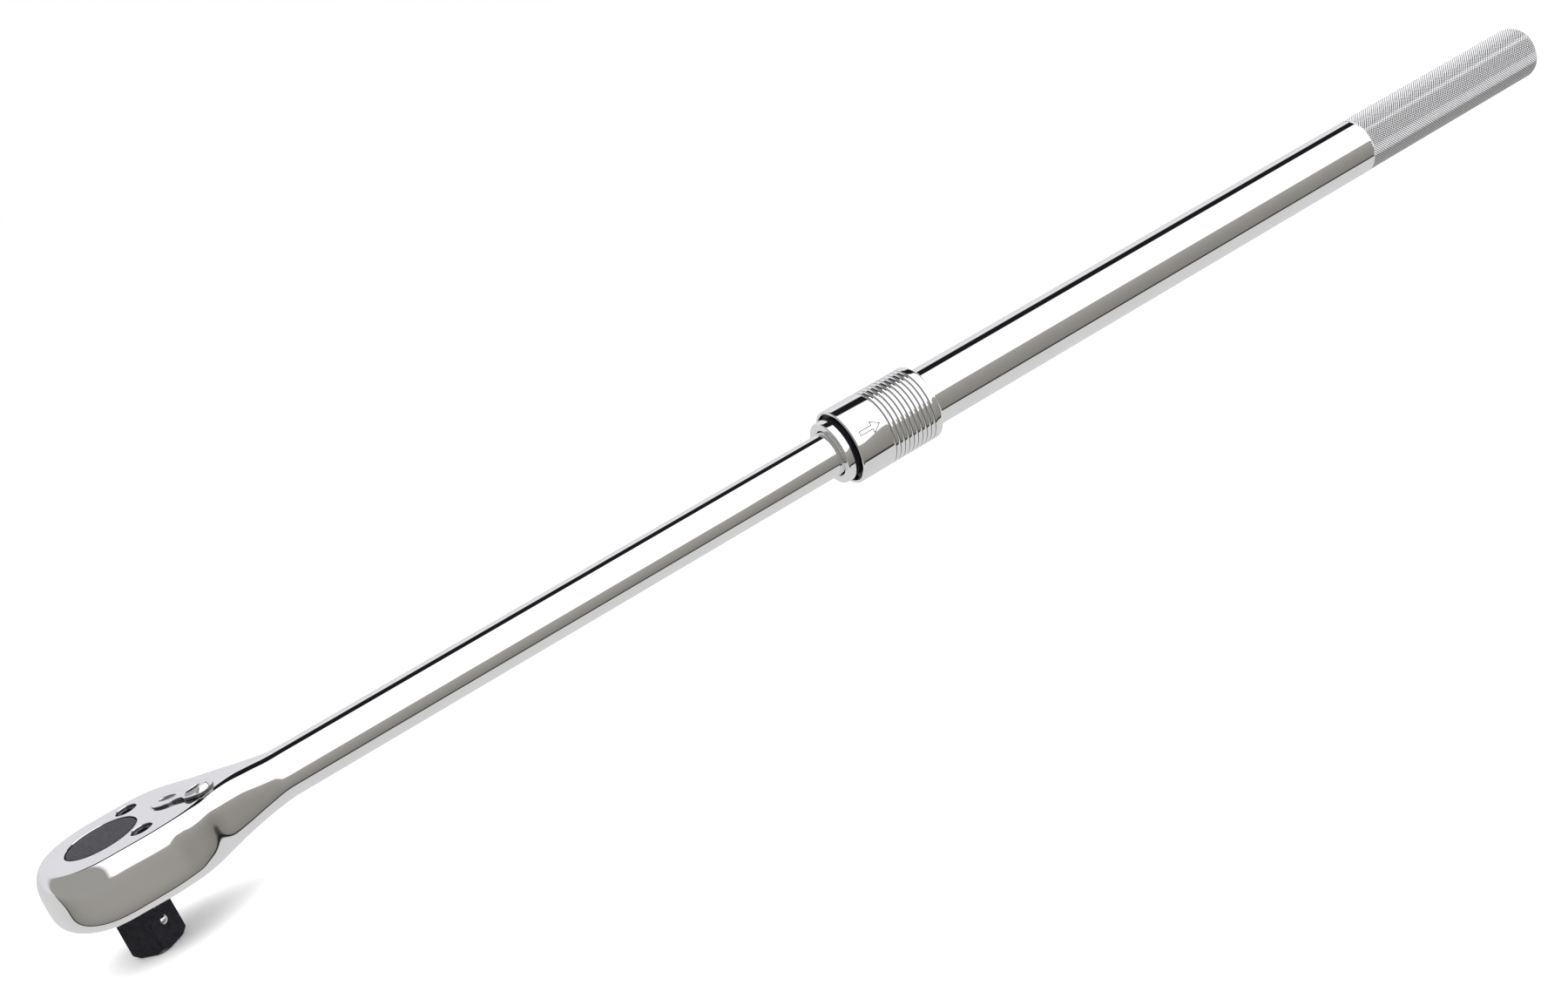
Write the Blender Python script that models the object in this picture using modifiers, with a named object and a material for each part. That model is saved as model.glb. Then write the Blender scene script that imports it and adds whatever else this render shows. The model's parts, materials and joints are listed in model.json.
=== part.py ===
"""Telescopic pear-head ratchet handle, 3/4 inch square drive.

Metres. The origin is the centre of the drive square's end face, on the drive axis. +X runs along
the bar to the grip end, and +Z comes out of the head's top face, where the reversing lever is.
"""

import math

import bmesh
import bpy
from mathutils import Matrix, Vector

MM = 0.001
GAP = 0.3 * MM  # kept between pieces that touch

# Drive
SQUARE = 19.05 * MM
CORNER = SQUARE / math.sqrt(2)
AXIS_Z = 41.6 * MM  # the bar's axis above the end of the drive square
SQUARE_TURN = math.radians(-3.7)  # a corner's direction from +X
SQUARE_END_R = 11.0 * MM  # round end face left by the turned chamfer
SQUARE_CHAMFER = 1.8 * MM
SQUARE_CORNER_CUT = 0.12 * MM  # taken off the square's corners by turning
BALL_HEIGHT = 12.2 * MM
BALL_R = 3.0 * MM
BALL_PROUD = 1.0 * MM
BALL_BORE_R = 3.3 * MM
BALL_LIP_R = 2.5 * MM
BALL_BORE_FLOOR = -5.6 * MM  # along the bore, from the drive axis

# Ratchet gear, heights measured from the bar's axis
TEETH = 36
GEAR_TIP_R = 20.0 * MM
GEAR_ROOT_R = 18.6 * MM
GEAR_HALF = 8.6 * MM
DISC_R = 17.4 * MM
DISC_TOP = 17.0 * MM
DISC_EDGE = ((1.2 * MM, 0.0), (0.35 * MM, 0.35 * MM), (0.0, 1.2 * MM))  # (in from the rim, down)
BOSS_R = 14.2 * MM
BOSS_BOTTOM = -17.0 * MM

# Head forging
HEAD_FRONT_R = 34.9 * MM
HEAD_PLAN_POWER = 2.1
CHAMBER_R = 20.5 * MM
CHAMBER_ROOF = 9.0 * MM
COVER_FACE = -15.9 * MM
COVER_SEAT = -11.4 * MM
SCREW_SPOTS = (("near", 16.3 * MM, -19.2 * MM), ("far", 16.3 * MM, 19.2 * MM))
SCREW_EAR_R = 6.6 * MM  # the cover's outline round a screw
SCREW_HEAD_R = 5.0 * MM
SCREW_SHANK_R = 3.0 * MM
SCREW_TOP = 16.2 * MM
SCREW_HEAD_LENGTH = 6.0 * MM
SOCKET_R = 2.9 * MM  # to the corners of the hexagon
SOCKET_DEPTH = 3.0 * MM
SCREW_HEAD_EDGE = 0.5 * MM
SCREW_TIP_EDGE = 0.7 * MM
# (x, half width, height above the axis, depth below it, squareness of the section), in millimetres
HEAD_STATIONS = (
    (0, 35.0, 17.2, 16.6, 4.6),
    (16, 35.6, 17.2, 16.6, 4.8),
    (30, 33.6, 16.9, 16.6, 5.0),
    (38, 29.8, 16.2, 16.5, 5.0),
    (50, 21.6, 15.9, 15.8, 4.4),
    (60, 17.3, 15.3, 14.7, 3.4),
    (72, 14.4, 14.0, 13.4, 2.5),
    (86, 12.5, 12.5, 12.5, 2.0),
)

# Pawl and reversing lever
PAWL_INNER_R = 20.35 * MM
PAWL_OUTER_R = 26.9 * MM
PAWL_HALF_ANGLE = math.radians(24)
PAWL_SHIFT = math.radians(8)
PAWL_HALF = 6.5 * MM
PAWL_TOOTH = 1.1 * MM
POCKET_OUTER_R = 27.3 * MM
POCKET_HALF_ANGLE = math.radians(37)
POCKET_ROOF = 7.2 * MM
WINDOW_HALF = 5.2 * MM  # half width of the plunger's way into the pocket
LEVER_X = 33.3 * MM
LEVER_TURN = math.radians(-42)
LEVER_SHAFT_R = 4.9 * MM
LEVER_BORE_R = 5.2 * MM
LEVER_BASE = 16.5 * MM
LEVER_TOP = 18.1 * MM
LEVER_SEAT_R = 8.6 * MM
LEVER_HUB_R = 7.6 * MM
LEVER_REACH = 25.0 * MM
PADDLE_HALF = 7.2 * MM
# Near side of the lever's plan beyond the hub: (distance from the pivot, half width)
LEVER_EDGE = (
    (10.5 * MM, 4.0 * MM),
    (13.0 * MM, PADDLE_HALF - 0.8 * MM),
    (15.5 * MM, PADDLE_HALF),
    (20.0 * MM, PADDLE_HALF - 0.4 * MM),
    (23.6 * MM, PADDLE_HALF - 3.0 * MM),
    (LEVER_REACH, 1.6 * MM),
)
LEVER_EDGE_BEVEL = 0.5 * MM
PADDLE_HOLLOW_EDGE = ((11.6 * MM, 2.6 * MM), (14.2 * MM, 5.6 * MM), (18.2 * MM, 5.4 * MM))
PADDLE_HOLLOW_DEPTH = 0.9 * MM
TAB_EDGE = ((18.2 * MM, 5.7 * MM), (20.6 * MM, 5.5 * MM), (23.2 * MM, 3.8 * MM), (24.6 * MM, 1.4 * MM))
TAB_RISE = 2.2 * MM
TAB_ROOT = 1.0 * MM  # depth of the tab's foot in the paddle
TAB_TOP_X = 21.6 * MM  # the tab's top narrows towards this point
TAB_TOP_SHARE = (0.45, 0.55)  # its length and width there, as shares of the foot's
DIMPLE_SIZE = (5.0 * MM, 2.6 * MM, 1.3 * MM)  # half sizes of the ellipsoid that cuts it
DIMPLE_CENTRE = (0.5 * MM, 0.2 * MM)  # along the lever, and above its top
PLUNGER_R = 1.75 * MM
PLUNGER_TIP = 5.7 * MM
PLUNGER_TAIL = 2.0 * MM
PLUNGER_BORE = 8.0 * MM  # depth of its bore's mouth from the shaft's axis
PLUNGER_SEAT = -2.5 * MM  # and of its floor
SEAL_GROOVE = (11.0 * MM, 13.2 * MM)  # heights of the shaft's seal groove
SEAL_GROOVE_R = 3.3 * MM
SEAL_RING_R = 4.35 * MM
SEAL_CORD_R = 0.72 * MM
CLIP_GROOVE = (-9.6 * MM, -8.1 * MM)
CLIP_GROOVE_R = 3.8 * MM
CLIP_R = 6.4 * MM
CLIP_ROOM_R = 7.0 * MM
CLIP_ROOM_TOP = -7.5 * MM
SHAFT_FOOT = -10.7 * MM
SHAFT_ROOT = 0.6 * MM  # how far the shaft reaches up into the lever

# Inner bar
BAR_R = 12.5 * MM
BAR_SHOULDER_X = 546 * MM
BAR_END_X = 560 * MM
SPIGOT_R = 10.0 * MM
SPIGOT_GROOVE_R = 9.0 * MM
SPIGOT_GROOVE_X = (556.2 * MM, 557.8 * MM)
LOCK_PITCH = 25.4 * MM
POCKETS_IN = 12
POCKETS_OUT = 1
KEYWAY_HALF = 3.2 * MM
KEYWAY_FLOOR_R = 11.0 * MM
POCKET_DRILL_R = 4.25 * MM
POCKET_FLOOR_R = 9.4 * MM

# Outer tube and grip
TUBE_R = 16.85 * MM
TUBE_BORE_R = 13.65 * MM
TUBE_FRONT_X = 414.5 * MM
TUBE_END_X = 950 * MM
TUBE_END_ROUND = 5.5 * MM
TUBE_END_WALL = 6 * MM
PLUG_BORE_R = 8.3 * MM
NOSE_FRONT_X = 408.2 * MM
NOSE_R = 17.8 * MM
NOSE_SPIGOT_X = 427.5 * MM
NOSE_ROUND = 1.3 * MM
NOSE_MOUTH = 1.6 * MM  # length of the flare at its mouth
BAR_CLEARANCE = 0.25 * MM
PLUG_SINK = 0.2 * MM
PLUG_LENGTH = 8.8 * MM
PLUG_FACE = 2.8 * MM
PLUG_WALL = 2.2 * MM
PLUG_EDGE = 0.5 * MM
COLLAR_EDGE = 0.6 * MM
END_RING_R = 12.0 * MM
RING_SLACK = 0.1 * MM  # between a ring and each side of its groove

# Lock sleeve
SLEEVE_FRONT_X = 415 * MM
SLEEVE_REAR_X = 469.6 * MM
SLEEVE_REAR_ROUND = 2.5 * MM
SLEEVE_LIP = 1.0 * MM
SLEEVE_R = 21.5 * MM
SLEEVE_BORE_R = 19.65 * MM
SLEEVE_REAR_BORE_R = 18.9 * MM
SLEEVE_GUIDE_R = 17.15 * MM
SLEEVE_LAND_R = 17.75 * MM
SLEEVE_TRAVEL = 5 * MM
GROOVES = 10
GROOVE_FIRST_X = 437 * MM
GROOVE_PITCH = 2.95 * MM
GROOVE_DEPTH = 0.75 * MM
GROOVE_WIDTH = 1.7 * MM
SLEEVE_COIL_R = 17.85 * MM
SLEEVE_WIRE_R = 0.62 * MM
LOCK_X = 433.5 * MM
LOCK_BALL_R = 4.0 * MM
LOCK_BALL_CENTRE_R = 15.3 * MM  # drawn lifted to the keyway's level
RAMP_LENGTH = 5.94 * MM
LAND_LENGTH = 6.0 * MM
SNAP_RING_X = (417.5 * MM, 419.0 * MM)
STOP_RING_X = (462.0 * MM, 463.6 * MM)
STOP_RING_R = 18.55 * MM
SNAP_RING_R = 19.2 * MM
RING_GROOVE_R = 15.6 * MM

ROUND = 32  # segments round the larger turned pieces
SECTION = 32  # segments round the head and inner bar

COLLECTION = "telescopic_ratchet_handle"


def clear_scene():
    for obj in list(bpy.data.objects):
        bpy.data.objects.remove(obj, do_unlink=True)


def collection(name):
    made = bpy.data.collections.new(name)
    bpy.context.scene.collection.children.link(made)
    return made


def material(name, colour, roughness, metallic):
    made = bpy.data.materials.new(name)
    made.use_nodes = True
    shader = made.node_tree.nodes["Principled BSDF"]
    shader.inputs["Base Color"].default_value = (*colour, 1.0)
    shader.inputs["Roughness"].default_value = roughness
    shader.inputs["Metallic"].default_value = metallic
    return made


clear_scene()
PARTS = collection(COLLECTION)
CUTTERS = collection("cutters")
CHROME = material("chrome", (0.83, 0.83, 0.84), 0.06, 1.0)
BLACK = material("black_oxide", (0.035, 0.035, 0.042), 0.38, 0.7)
STEEL = material("bright_steel", (0.62, 0.62, 0.63), 0.22, 1.0)
SPRING = material("spring_steel", (0.38, 0.38, 0.40), 0.32, 1.0)
RUBBER = material("seal_rubber", (0.02, 0.02, 0.02), 0.75, 0.0)
BRONZE = material("guide_bronze", (0.55, 0.38, 0.17), 0.35, 1.0)


def place(name, mesh, surface, group=PARTS):
    obj = bpy.data.objects.new(name, mesh)
    group.objects.link(obj)
    if surface:
        mesh.materials.append(surface)
        mesh.shade_smooth()
        mesh.set_sharp_from_angle(angle=math.radians(35))
    else:
        obj.hide_render = True
        obj.display_type = "WIRE"
    return obj


def from_bmesh(name, bm, surface, group=PARTS):
    bmesh.ops.recalc_face_normals(bm, faces=bm.faces)
    mesh = bpy.data.meshes.new(name)
    bm.to_mesh(mesh)
    bm.free()
    return place(name, mesh, surface, group)


def boolean(obj, cutter, operation="DIFFERENCE"):
    modifier = obj.modifiers.new(operation.lower() + "_" + cutter.name, "BOOLEAN")
    modifier.operation = operation
    modifier.object = cutter
    modifier.solver = "EXACT"


def along_x(obj):
    """Lays a piece that was turned about Z along the bar's axis."""
    obj.rotation_euler = (0, math.pi / 2, 0)
    obj.location = (0, 0, AXIS_Z)
    return obj


def turned(name, outline, surface, steps=ROUND, group=PARTS):
    """A solid turned about Z. outline holds (radius, height) points, in order round the section.

    A solid that reaches the axis has its two points on the axis first and last.
    """
    closed = min(r for r, _ in outline) > 0
    area = sum(
        a[0] * b[1] - b[0] * a[1] for a, b in zip(outline, outline[1:] + outline[:1])
    )
    points = outline[::-1] if area > 0 else outline
    edges = [(i, i + 1) for i in range(len(points) - 1)]
    if closed:
        edges.append((len(points) - 1, 0))
    mesh = bpy.data.meshes.new(name)
    mesh.from_pydata([(r, 0, h) for r, h in points], edges, [])
    obj = place(name, mesh, surface, group)
    screw = obj.modifiers.new("turn", "SCREW")
    screw.steps = steps
    screw.render_steps = steps
    screw.use_merge_vertices = True
    screw.merge_threshold = 1e-6
    screw.use_smooth_shade = True
    return obj


def arc(centre_r, centre_h, radius, start, end, count):
    """Points on an arc in a turned outline; angles in degrees, 0 pointing outwards, 90 up."""
    angles = [math.radians(start + (end - start) * i / count) for i in range(count + 1)]
    return [(centre_r + radius * math.cos(a), centre_h + radius * math.sin(a)) for a in angles]


def cylinder(name, radius, low, high, centre=(0, 0), segments=ROUND):
    bm = bmesh.new()
    bmesh.ops.create_cone(
        bm, cap_ends=True, segments=segments, radius1=radius, radius2=radius, depth=high - low
    )
    bmesh.ops.translate(bm, verts=bm.verts, vec=(centre[0], centre[1], (low + high) / 2))
    return from_bmesh(name, bm, None, CUTTERS)


def box(name, low, high):
    bm = bmesh.new()
    bmesh.ops.create_cube(bm, size=1)
    size = [b - a for a, b in zip(low, high)]
    middle = [(a + b) / 2 for a, b in zip(low, high)]
    bmesh.ops.scale(bm, verts=bm.verts, vec=size)
    bmesh.ops.translate(bm, verts=bm.verts, vec=middle)
    return from_bmesh(name, bm, None, CUTTERS)


def prism(name, outline, low, high, surface=None):
    """A flat outline of (x, y) points, raised from low to high."""
    bm = bmesh.new()
    face = bm.faces.new([bm.verts.new((x, y, low)) for x, y in outline])
    raised = bmesh.ops.extrude_face_region(bm, geom=[face])
    tops = [v for v in raised["geom"] if isinstance(v, bmesh.types.BMVert)]
    bmesh.ops.translate(bm, verts=tops, vec=(0, 0, high - low))
    return from_bmesh(name, bm, surface, PARTS if surface else CUTTERS)


def circle_points(x, y, radius, start, end, count):
    angles = [math.radians(start + (end - start) * i / count) for i in range(count + 1)]
    return [(x + radius * math.cos(a), y + radius * math.sin(a)) for a in angles]


def hull_of_circles(circles, count=48):
    """The convex outline round some circles, each (x, y, radius)."""
    points = []
    for i in range(count):
        angle = 2 * math.pi * i / count
        out = Vector((math.cos(angle), math.sin(angle)))
        x, y, radius = max(circles, key=lambda c: c[0] * out.x + c[1] * out.y + c[2])
        points.append((x + radius * out.x, y + radius * out.y))
    return points


def sector(name, inner, outer, middle, half, low, high, surface=None, teeth=0):
    """A ring sector about Z; with teeth, its inner arc is notched outwards."""
    back = [
        (outer * math.cos(middle + half * s), outer * math.sin(middle + half * s))
        for s in (-1, -2 / 3, -1 / 3, 0, 1 / 3, 2 / 3, 1)
    ]
    count = 2 * teeth if teeth else 12
    front = []
    for i in range(count + 1):
        angle = middle + half * (1 - 2 * i / count)
        radius = inner + (PAWL_TOOTH if teeth and i % 2 else 0)
        front.append((radius * math.cos(angle), radius * math.sin(angle)))
    return prism(name, back + front, low, high, surface)


def coil(name, radius, wire, length, turns, end_turns=1.0, points_per_turn=14):
    """A compression spring along local Z from 0 to length, closed at both ends."""
    total = turns + 2 * end_turns
    count = int(total * points_per_turn)
    closed = 2.15 * wire
    curve = bpy.data.curves.new(name, "CURVE")
    curve.dimensions = "3D"
    curve.bevel_depth = wire
    curve.bevel_resolution = 2
    curve.use_fill_caps = True
    spline = curve.splines.new("POLY")
    spline.points.add(count)
    span = length - 2 * wire - 2 * end_turns * closed
    for i, point in enumerate(spline.points):
        turn = total * i / count
        if turn <= end_turns:
            height = turn * closed
        elif turn >= end_turns + turns:
            height = end_turns * closed + span + (turn - end_turns - turns) * closed
        else:
            height = end_turns * closed + span * (turn - end_turns) / turns
        angle = 2 * math.pi * turn
        point.co = (radius * math.cos(angle), radius * math.sin(angle), height + wire, 1)
    curve.materials.append(SPRING)
    obj = bpy.data.objects.new(name, curve)
    PARTS.objects.link(obj)
    return obj


def blend(stations, x):
    """Smooth values between the stations' rows, with flat ends: a cubic through each row."""
    last = len(stations) - 1
    k = next((i for i in range(last) if x <= stations[i + 1][0]), last - 1)
    x0, x1 = stations[k][0], stations[k + 1][0]
    t = min(max((x - x0) / (x1 - x0), 0), 1)
    values = []
    for column in range(1, len(stations[0])):

        def slope(i):
            if i in (0, last):
                return 0.0
            before = (stations[i][column] - stations[i - 1][column]) / (
                stations[i][0] - stations[i - 1][0]
            )
            after = (stations[i + 1][column] - stations[i][column]) / (
                stations[i + 1][0] - stations[i][0]
            )
            return 0.0 if before * after <= 0 else 2 * before * after / (before + after)

        a, b = stations[k][column], stations[k + 1][column]
        ma, mb = slope(k) * (x1 - x0), slope(k + 1) * (x1 - x0)
        values.append(
            (2 * t**3 - 3 * t**2 + 1) * a
            + (t**3 - 2 * t**2 + t) * ma
            + (-2 * t**3 + 3 * t**2) * b
            + (t**3 - t**2) * mb
        )
    return values


def half_section(foot, direction, reach, top, bottom, power):
    """Points from the top centre round one side to the bottom centre of a rounded section."""
    middle, half = (top - bottom) / 2, (top + bottom) / 2
    points = []
    for j in range(SECTION // 2 + 1):
        angle = math.pi / 2 - 2 * math.pi * j / SECTION
        c, s = max(math.cos(angle), 0.0), math.sin(angle)
        if j in (0, SECTION // 2):
            c = 0.0
        scale = (c**power + abs(s) ** power) ** (-1 / power)
        out = reach * c * scale
        points.append(
            (foot + direction[0] * out, direction[1] * out, AXIS_Z + middle + half * s * scale)
        )
    return points


def head_columns():
    """Half sections from the bar's end on the +Y side, round the head's front, to the bar's end."""
    side = []
    steps = (
        (BAR_END_X, SPIGOT_R),
        (SPIGOT_GROOVE_X[1], SPIGOT_R),
        (SPIGOT_GROOVE_X[1], SPIGOT_GROOVE_R),
        (SPIGOT_GROOVE_X[0], SPIGOT_GROOVE_R),
        (SPIGOT_GROOVE_X[0], SPIGOT_R),
        (BAR_SHOULDER_X, SPIGOT_R),
        (BAR_SHOULDER_X, BAR_R - 0.8 * MM),
        (BAR_SHOULDER_X - 0.8 * MM, BAR_R),
    )
    for x, r in steps:
        side.append((x, r, r, r, 2.0))
    for x in (86, 81, 76, 71, 66, 62, 58, 54, 50, 46, 42, 38, 34, 28, 22, 14, 7, 0):
        width, top, bottom, power = blend(HEAD_STATIONS, x)
        side.append((x * MM, width * MM, top * MM, bottom * MM, power))
    columns = [half_section(x, (0, 1), w, t, b, p) for x, w, t, b, p in side]
    _, width, top, bottom, power = side[-1]
    fan = 24
    for i in range(1, fan):
        angle = math.pi * i / fan
        across, ahead = math.cos(angle), math.sin(angle)
        reach = (
            (ahead / HEAD_FRONT_R) ** HEAD_PLAN_POWER + (abs(across) / width) ** HEAD_PLAN_POWER
        ) ** (-1 / HEAD_PLAN_POWER)
        columns.append(half_section(0, (-ahead, across), reach, top, bottom, power))
    columns += [half_section(x, (0, -1), w, t, b, p) for x, w, t, b, p in side[::-1]]
    return columns


def head_forging():
    """Head, neck and inner bar in one forging, bored for the gear, pawl, lever and screws."""
    bm = bmesh.new()
    grid = [[bm.verts.new(p) for p in column] for column in head_columns()]
    for left, right in zip(grid, grid[1:]):
        for j in range(len(left) - 1):
            bm.faces.new((left[j], left[j + 1], right[j + 1], right[j]))
    bmesh.ops.remove_doubles(bm, verts=bm.verts, dist=1e-7)
    bmesh.ops.holes_fill(bm, edges=[e for e in bm.edges if e.is_boundary], sides=0)
    forging = from_bmesh("head_forging", bm, CHROME)
    z = AXIS_Z
    below, above = -30 * MM, 30 * MM  # past the head on both sides
    cut = []
    cut.append(cylinder("cut_chamber", CHAMBER_R, z + below, z + CHAMBER_ROOF))
    cut.append(cylinder("cut_disc", DISC_R + GAP, z, z + above))
    cut.append(prism("cut_cover_seat", cover_outline(GAP), z + below, z + COVER_SEAT))
    cut.append(
        sector(
            "cut_pawl_pocket",
            CHAMBER_R - 3 * MM,
            POCKET_OUTER_R,
            0,
            POCKET_HALF_ANGLE,
            z + below,
            z + POCKET_ROOF,
        )
    )
    cut.append(
        box(
            "cut_plunger_window",
            (POCKET_OUTER_R - 2 * MM, -WINDOW_HALF, z - 4 * MM),
            (LEVER_X, WINDOW_HALF, z + 4 * MM),
        )
    )
    pivot = (LEVER_X, 0)
    cut.append(cylinder("cut_lever_bore", LEVER_BORE_R, z + below, z + above, pivot, 32))
    seat = z + LEVER_BASE - GAP
    cut.append(cylinder("cut_lever_seat", LEVER_SEAT_R, seat, z + above, pivot, 36))
    room = cylinder("cut_clip_room", CLIP_ROOM_R, z + below, z + CLIP_ROOM_TOP, pivot, 32)
    cut.append(room)
    shank_r, head_r = SCREW_SHANK_R + GAP, SCREW_HEAD_R + 0.25 * MM
    head_seat = z + SCREW_TOP - SCREW_HEAD_LENGTH - GAP
    for name, *spot in SCREW_SPOTS:
        cut.append(cylinder(f"cut_screw_{name}", shank_r, z + below, z + above, spot, 20))
        cut.append(cylinder(f"cut_counterbore_{name}", head_r, head_seat, z + above, spot, 24))
    first = LOCK_X - POCKETS_IN * LOCK_PITCH
    last = LOCK_X + POCKETS_OUT * LOCK_PITCH
    cut.append(
        box(
            "cut_keyway",
            (first - LOCK_BALL_R, -KEYWAY_HALF, z + below),
            (last + LOCK_BALL_R, KEYWAY_HALF, z - KEYWAY_FLOOR_R),
        )
    )
    for k in range(-POCKETS_IN, POCKETS_OUT + 1):
        spot = (LOCK_X + k * LOCK_PITCH, 0)
        name = f"cut_lock_pocket_{k + POCKETS_IN:02d}"
        cut.append(cylinder(name, POCKET_DRILL_R, z + below, z - POCKET_FLOOR_R, spot, 16))
    for cutter in cut:
        boolean(forging, cutter)
    return forging


def cover_outline(extra=0.0):
    """Outline of the cover over the gear, pawl and lever shaft, on the drive side."""
    circles = (
        (0, 0, 23.8 * MM + extra),
        (LEVER_X, 0, 9.5 * MM + extra),
        *((x, y, SCREW_EAR_R + extra) for _, x, y in SCREW_SPOTS),
    )
    return hull_of_circles(circles)


def cover_plate():
    plate = prism(
        "cover_plate", cover_outline(), AXIS_Z + COVER_FACE, AXIS_Z + COVER_SEAT - GAP, BLACK
    )
    hole = cylinder("cut_cover_drive", BOSS_R + GAP, 0, AXIS_Z)
    boolean(plate, hole)
    for name, *spot in SCREW_SPOTS:
        boolean(plate, cylinder(f"cut_cover_screw_{name}", SCREW_SHANK_R + GAP, 0, AXIS_Z, spot, 20))


def cover_screws():
    """Socket cap screws let into the top face, which pull the cover up from the drive side."""
    z = AXIS_Z
    shank = SCREW_TOP - SCREW_HEAD_LENGTH
    for name, x, y in SCREW_SPOTS:
        outline = [
            (0, SCREW_TOP),
            (SCREW_HEAD_R - SCREW_HEAD_EDGE, SCREW_TOP),
            (SCREW_HEAD_R, SCREW_TOP - SCREW_HEAD_EDGE),
            (SCREW_HEAD_R, shank),
            (SCREW_SHANK_R, shank),
            (SCREW_SHANK_R, COVER_FACE + GAP + SCREW_TIP_EDGE),
            (SCREW_SHANK_R - SCREW_TIP_EDGE, COVER_FACE + GAP),
            (0, COVER_FACE + GAP),
        ]
        screw = turned(f"cover_screw_{name}", outline, BLACK, 24)
        screw.location = (x, y, z)
        low, high = SCREW_TOP - SOCKET_DEPTH, SCREW_TOP + 2 * MM
        socket = cylinder(f"cut_socket_{name}", SOCKET_R, low, high, (0, 0), 6)
        socket.location = screw.location
        boolean(screw, socket)


def drive_gear():
    """Ratchet gear with its top disc, lower boss and drive square in one piece."""
    z = AXIS_Z
    ring = []
    for i in range(TEETH):
        start = 2 * math.pi * i / TEETH
        for part, radius in ((0, GEAR_ROOT_R), (0.42, GEAR_TIP_R), (0.58, GEAR_TIP_R)):
            angle = start + 2 * math.pi * part / TEETH
            ring.append((radius * math.cos(angle), radius * math.sin(angle)))
    gear = prism("drive_gear", ring, z - GEAR_HALF, z + GEAR_HALF, BLACK)
    disc = turned(
        "join_disc",
        [
            (0, z + DISC_TOP),
            *((DISC_R - inset, z + DISC_TOP - down) for inset, down in DISC_EDGE),
            (DISC_R, z),
            (0, z),
        ],
        None,
        ROUND,
        CUTTERS,
    )
    boss = cylinder("join_boss", BOSS_R, z + BOSS_BOTTOM, z - 1 * MM)
    square = square_bar("join_square", CORNER, 0, z - 2 * MM)
    chamfer = turned(
        "keep_turned_end",
        [
            (0, 0),
            (SQUARE_END_R, 0),
            (CORNER - 3 * SQUARE_CORNER_CUT, SQUARE_CHAMFER),
            (CORNER - SQUARE_CORNER_CUT, SQUARE_CHAMFER + 1.2 * MM),
            (CORNER - SQUARE_CORNER_CUT, z),
            (0, z),
        ],
        None,
        ROUND,
        CUTTERS,
    )
    boolean(square, chamfer, "INTERSECT")
    boolean(gear, disc, "UNION")
    boolean(gear, boss, "UNION")
    boolean(gear, square, "UNION")
    bore = turned(
        "cut_detent_bore",
        [
            (0, SQUARE / 2 + 2 * MM),
            (BALL_LIP_R, SQUARE / 2 + 2 * MM),
            (BALL_LIP_R, SQUARE / 2),
            (BALL_BORE_R, SQUARE / 2 - 1.0 * MM),
            (BALL_BORE_R, BALL_BORE_FLOOR),
            (0, BALL_BORE_FLOOR),
        ],
        None,
        24,
        CUTTERS,
    )
    bore.rotation_euler = (0, math.pi / 2, ball_heading())
    bore.location = (0, 0, BALL_HEIGHT)
    boolean(gear, bore)
    return gear


def square_bar(name, corner, low, high):
    """A square bar about Z with its corners turned to the drive square's heading."""
    bm = bmesh.new()
    bmesh.ops.create_cone(
        bm, cap_ends=True, segments=4, radius1=corner, radius2=corner, depth=high - low
    )
    turn = Matrix.Rotation(SQUARE_TURN, 3, "Z")
    first = next(v for v in bm.verts if v.co.z > 0)
    square_up = Matrix.Rotation(-math.atan2(first.co.y, first.co.x), 3, "Z")
    bmesh.ops.rotate(bm, verts=bm.verts, matrix=turn @ square_up)
    bmesh.ops.translate(bm, verts=bm.verts, vec=(0, 0, (low + high) / 2))
    return from_bmesh(name, bm, None, CUTTERS)


def ball_heading():
    """The direction of the face that holds the detent ball."""
    return SQUARE_TURN - math.pi / 4


def ball(name, radius, centre, surface, segments=20):
    bm = bmesh.new()
    bmesh.ops.create_uvsphere(bm, u_segments=segments, v_segments=segments // 2, radius=radius)
    obj = from_bmesh(name, bm, surface)
    obj.location = centre
    return obj


def detent():
    """Ball and spring let into one face of the drive square."""
    heading = ball_heading()
    out = SQUARE / 2 + BALL_PROUD - BALL_R
    centre = (out * math.cos(heading), out * math.sin(heading), BALL_HEIGHT)
    ball("detent_ball", BALL_R, centre, STEEL)
    start = BALL_BORE_FLOOR + GAP
    spring = coil("detent_spring", 2.3 * MM, 0.3 * MM, out - BALL_R - GAP - start, 3, 0.75, 8)
    spring.rotation_euler = (0, math.pi / 2, heading)
    spring.location = (start * math.cos(heading), start * math.sin(heading), BALL_HEIGHT)


def pawl():
    """Toothed pawl behind the gear, shifted to one side and held just clear of the gear's tips."""
    sector(
        "pawl",
        PAWL_INNER_R,
        PAWL_OUTER_R,
        PAWL_SHIFT,
        PAWL_HALF_ANGLE,
        AXIS_Z - PAWL_HALF,
        AXIS_Z + PAWL_HALF,
        BLACK,
        teeth=5,
    )


def lever_outline():
    """Plan of the lever about its pivot, pointing along +X: round hub, waist and wider paddle."""
    return circle_points(0, 0, LEVER_HUB_R, 42, 318, 16) + both_sides(LEVER_EDGE)


def both_sides(edge):
    """A closed outline from the (x, half width) points of one side."""
    return [(x, -y) for x, y in edge] + [(x, y) for x, y in edge[::-1]]


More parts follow.
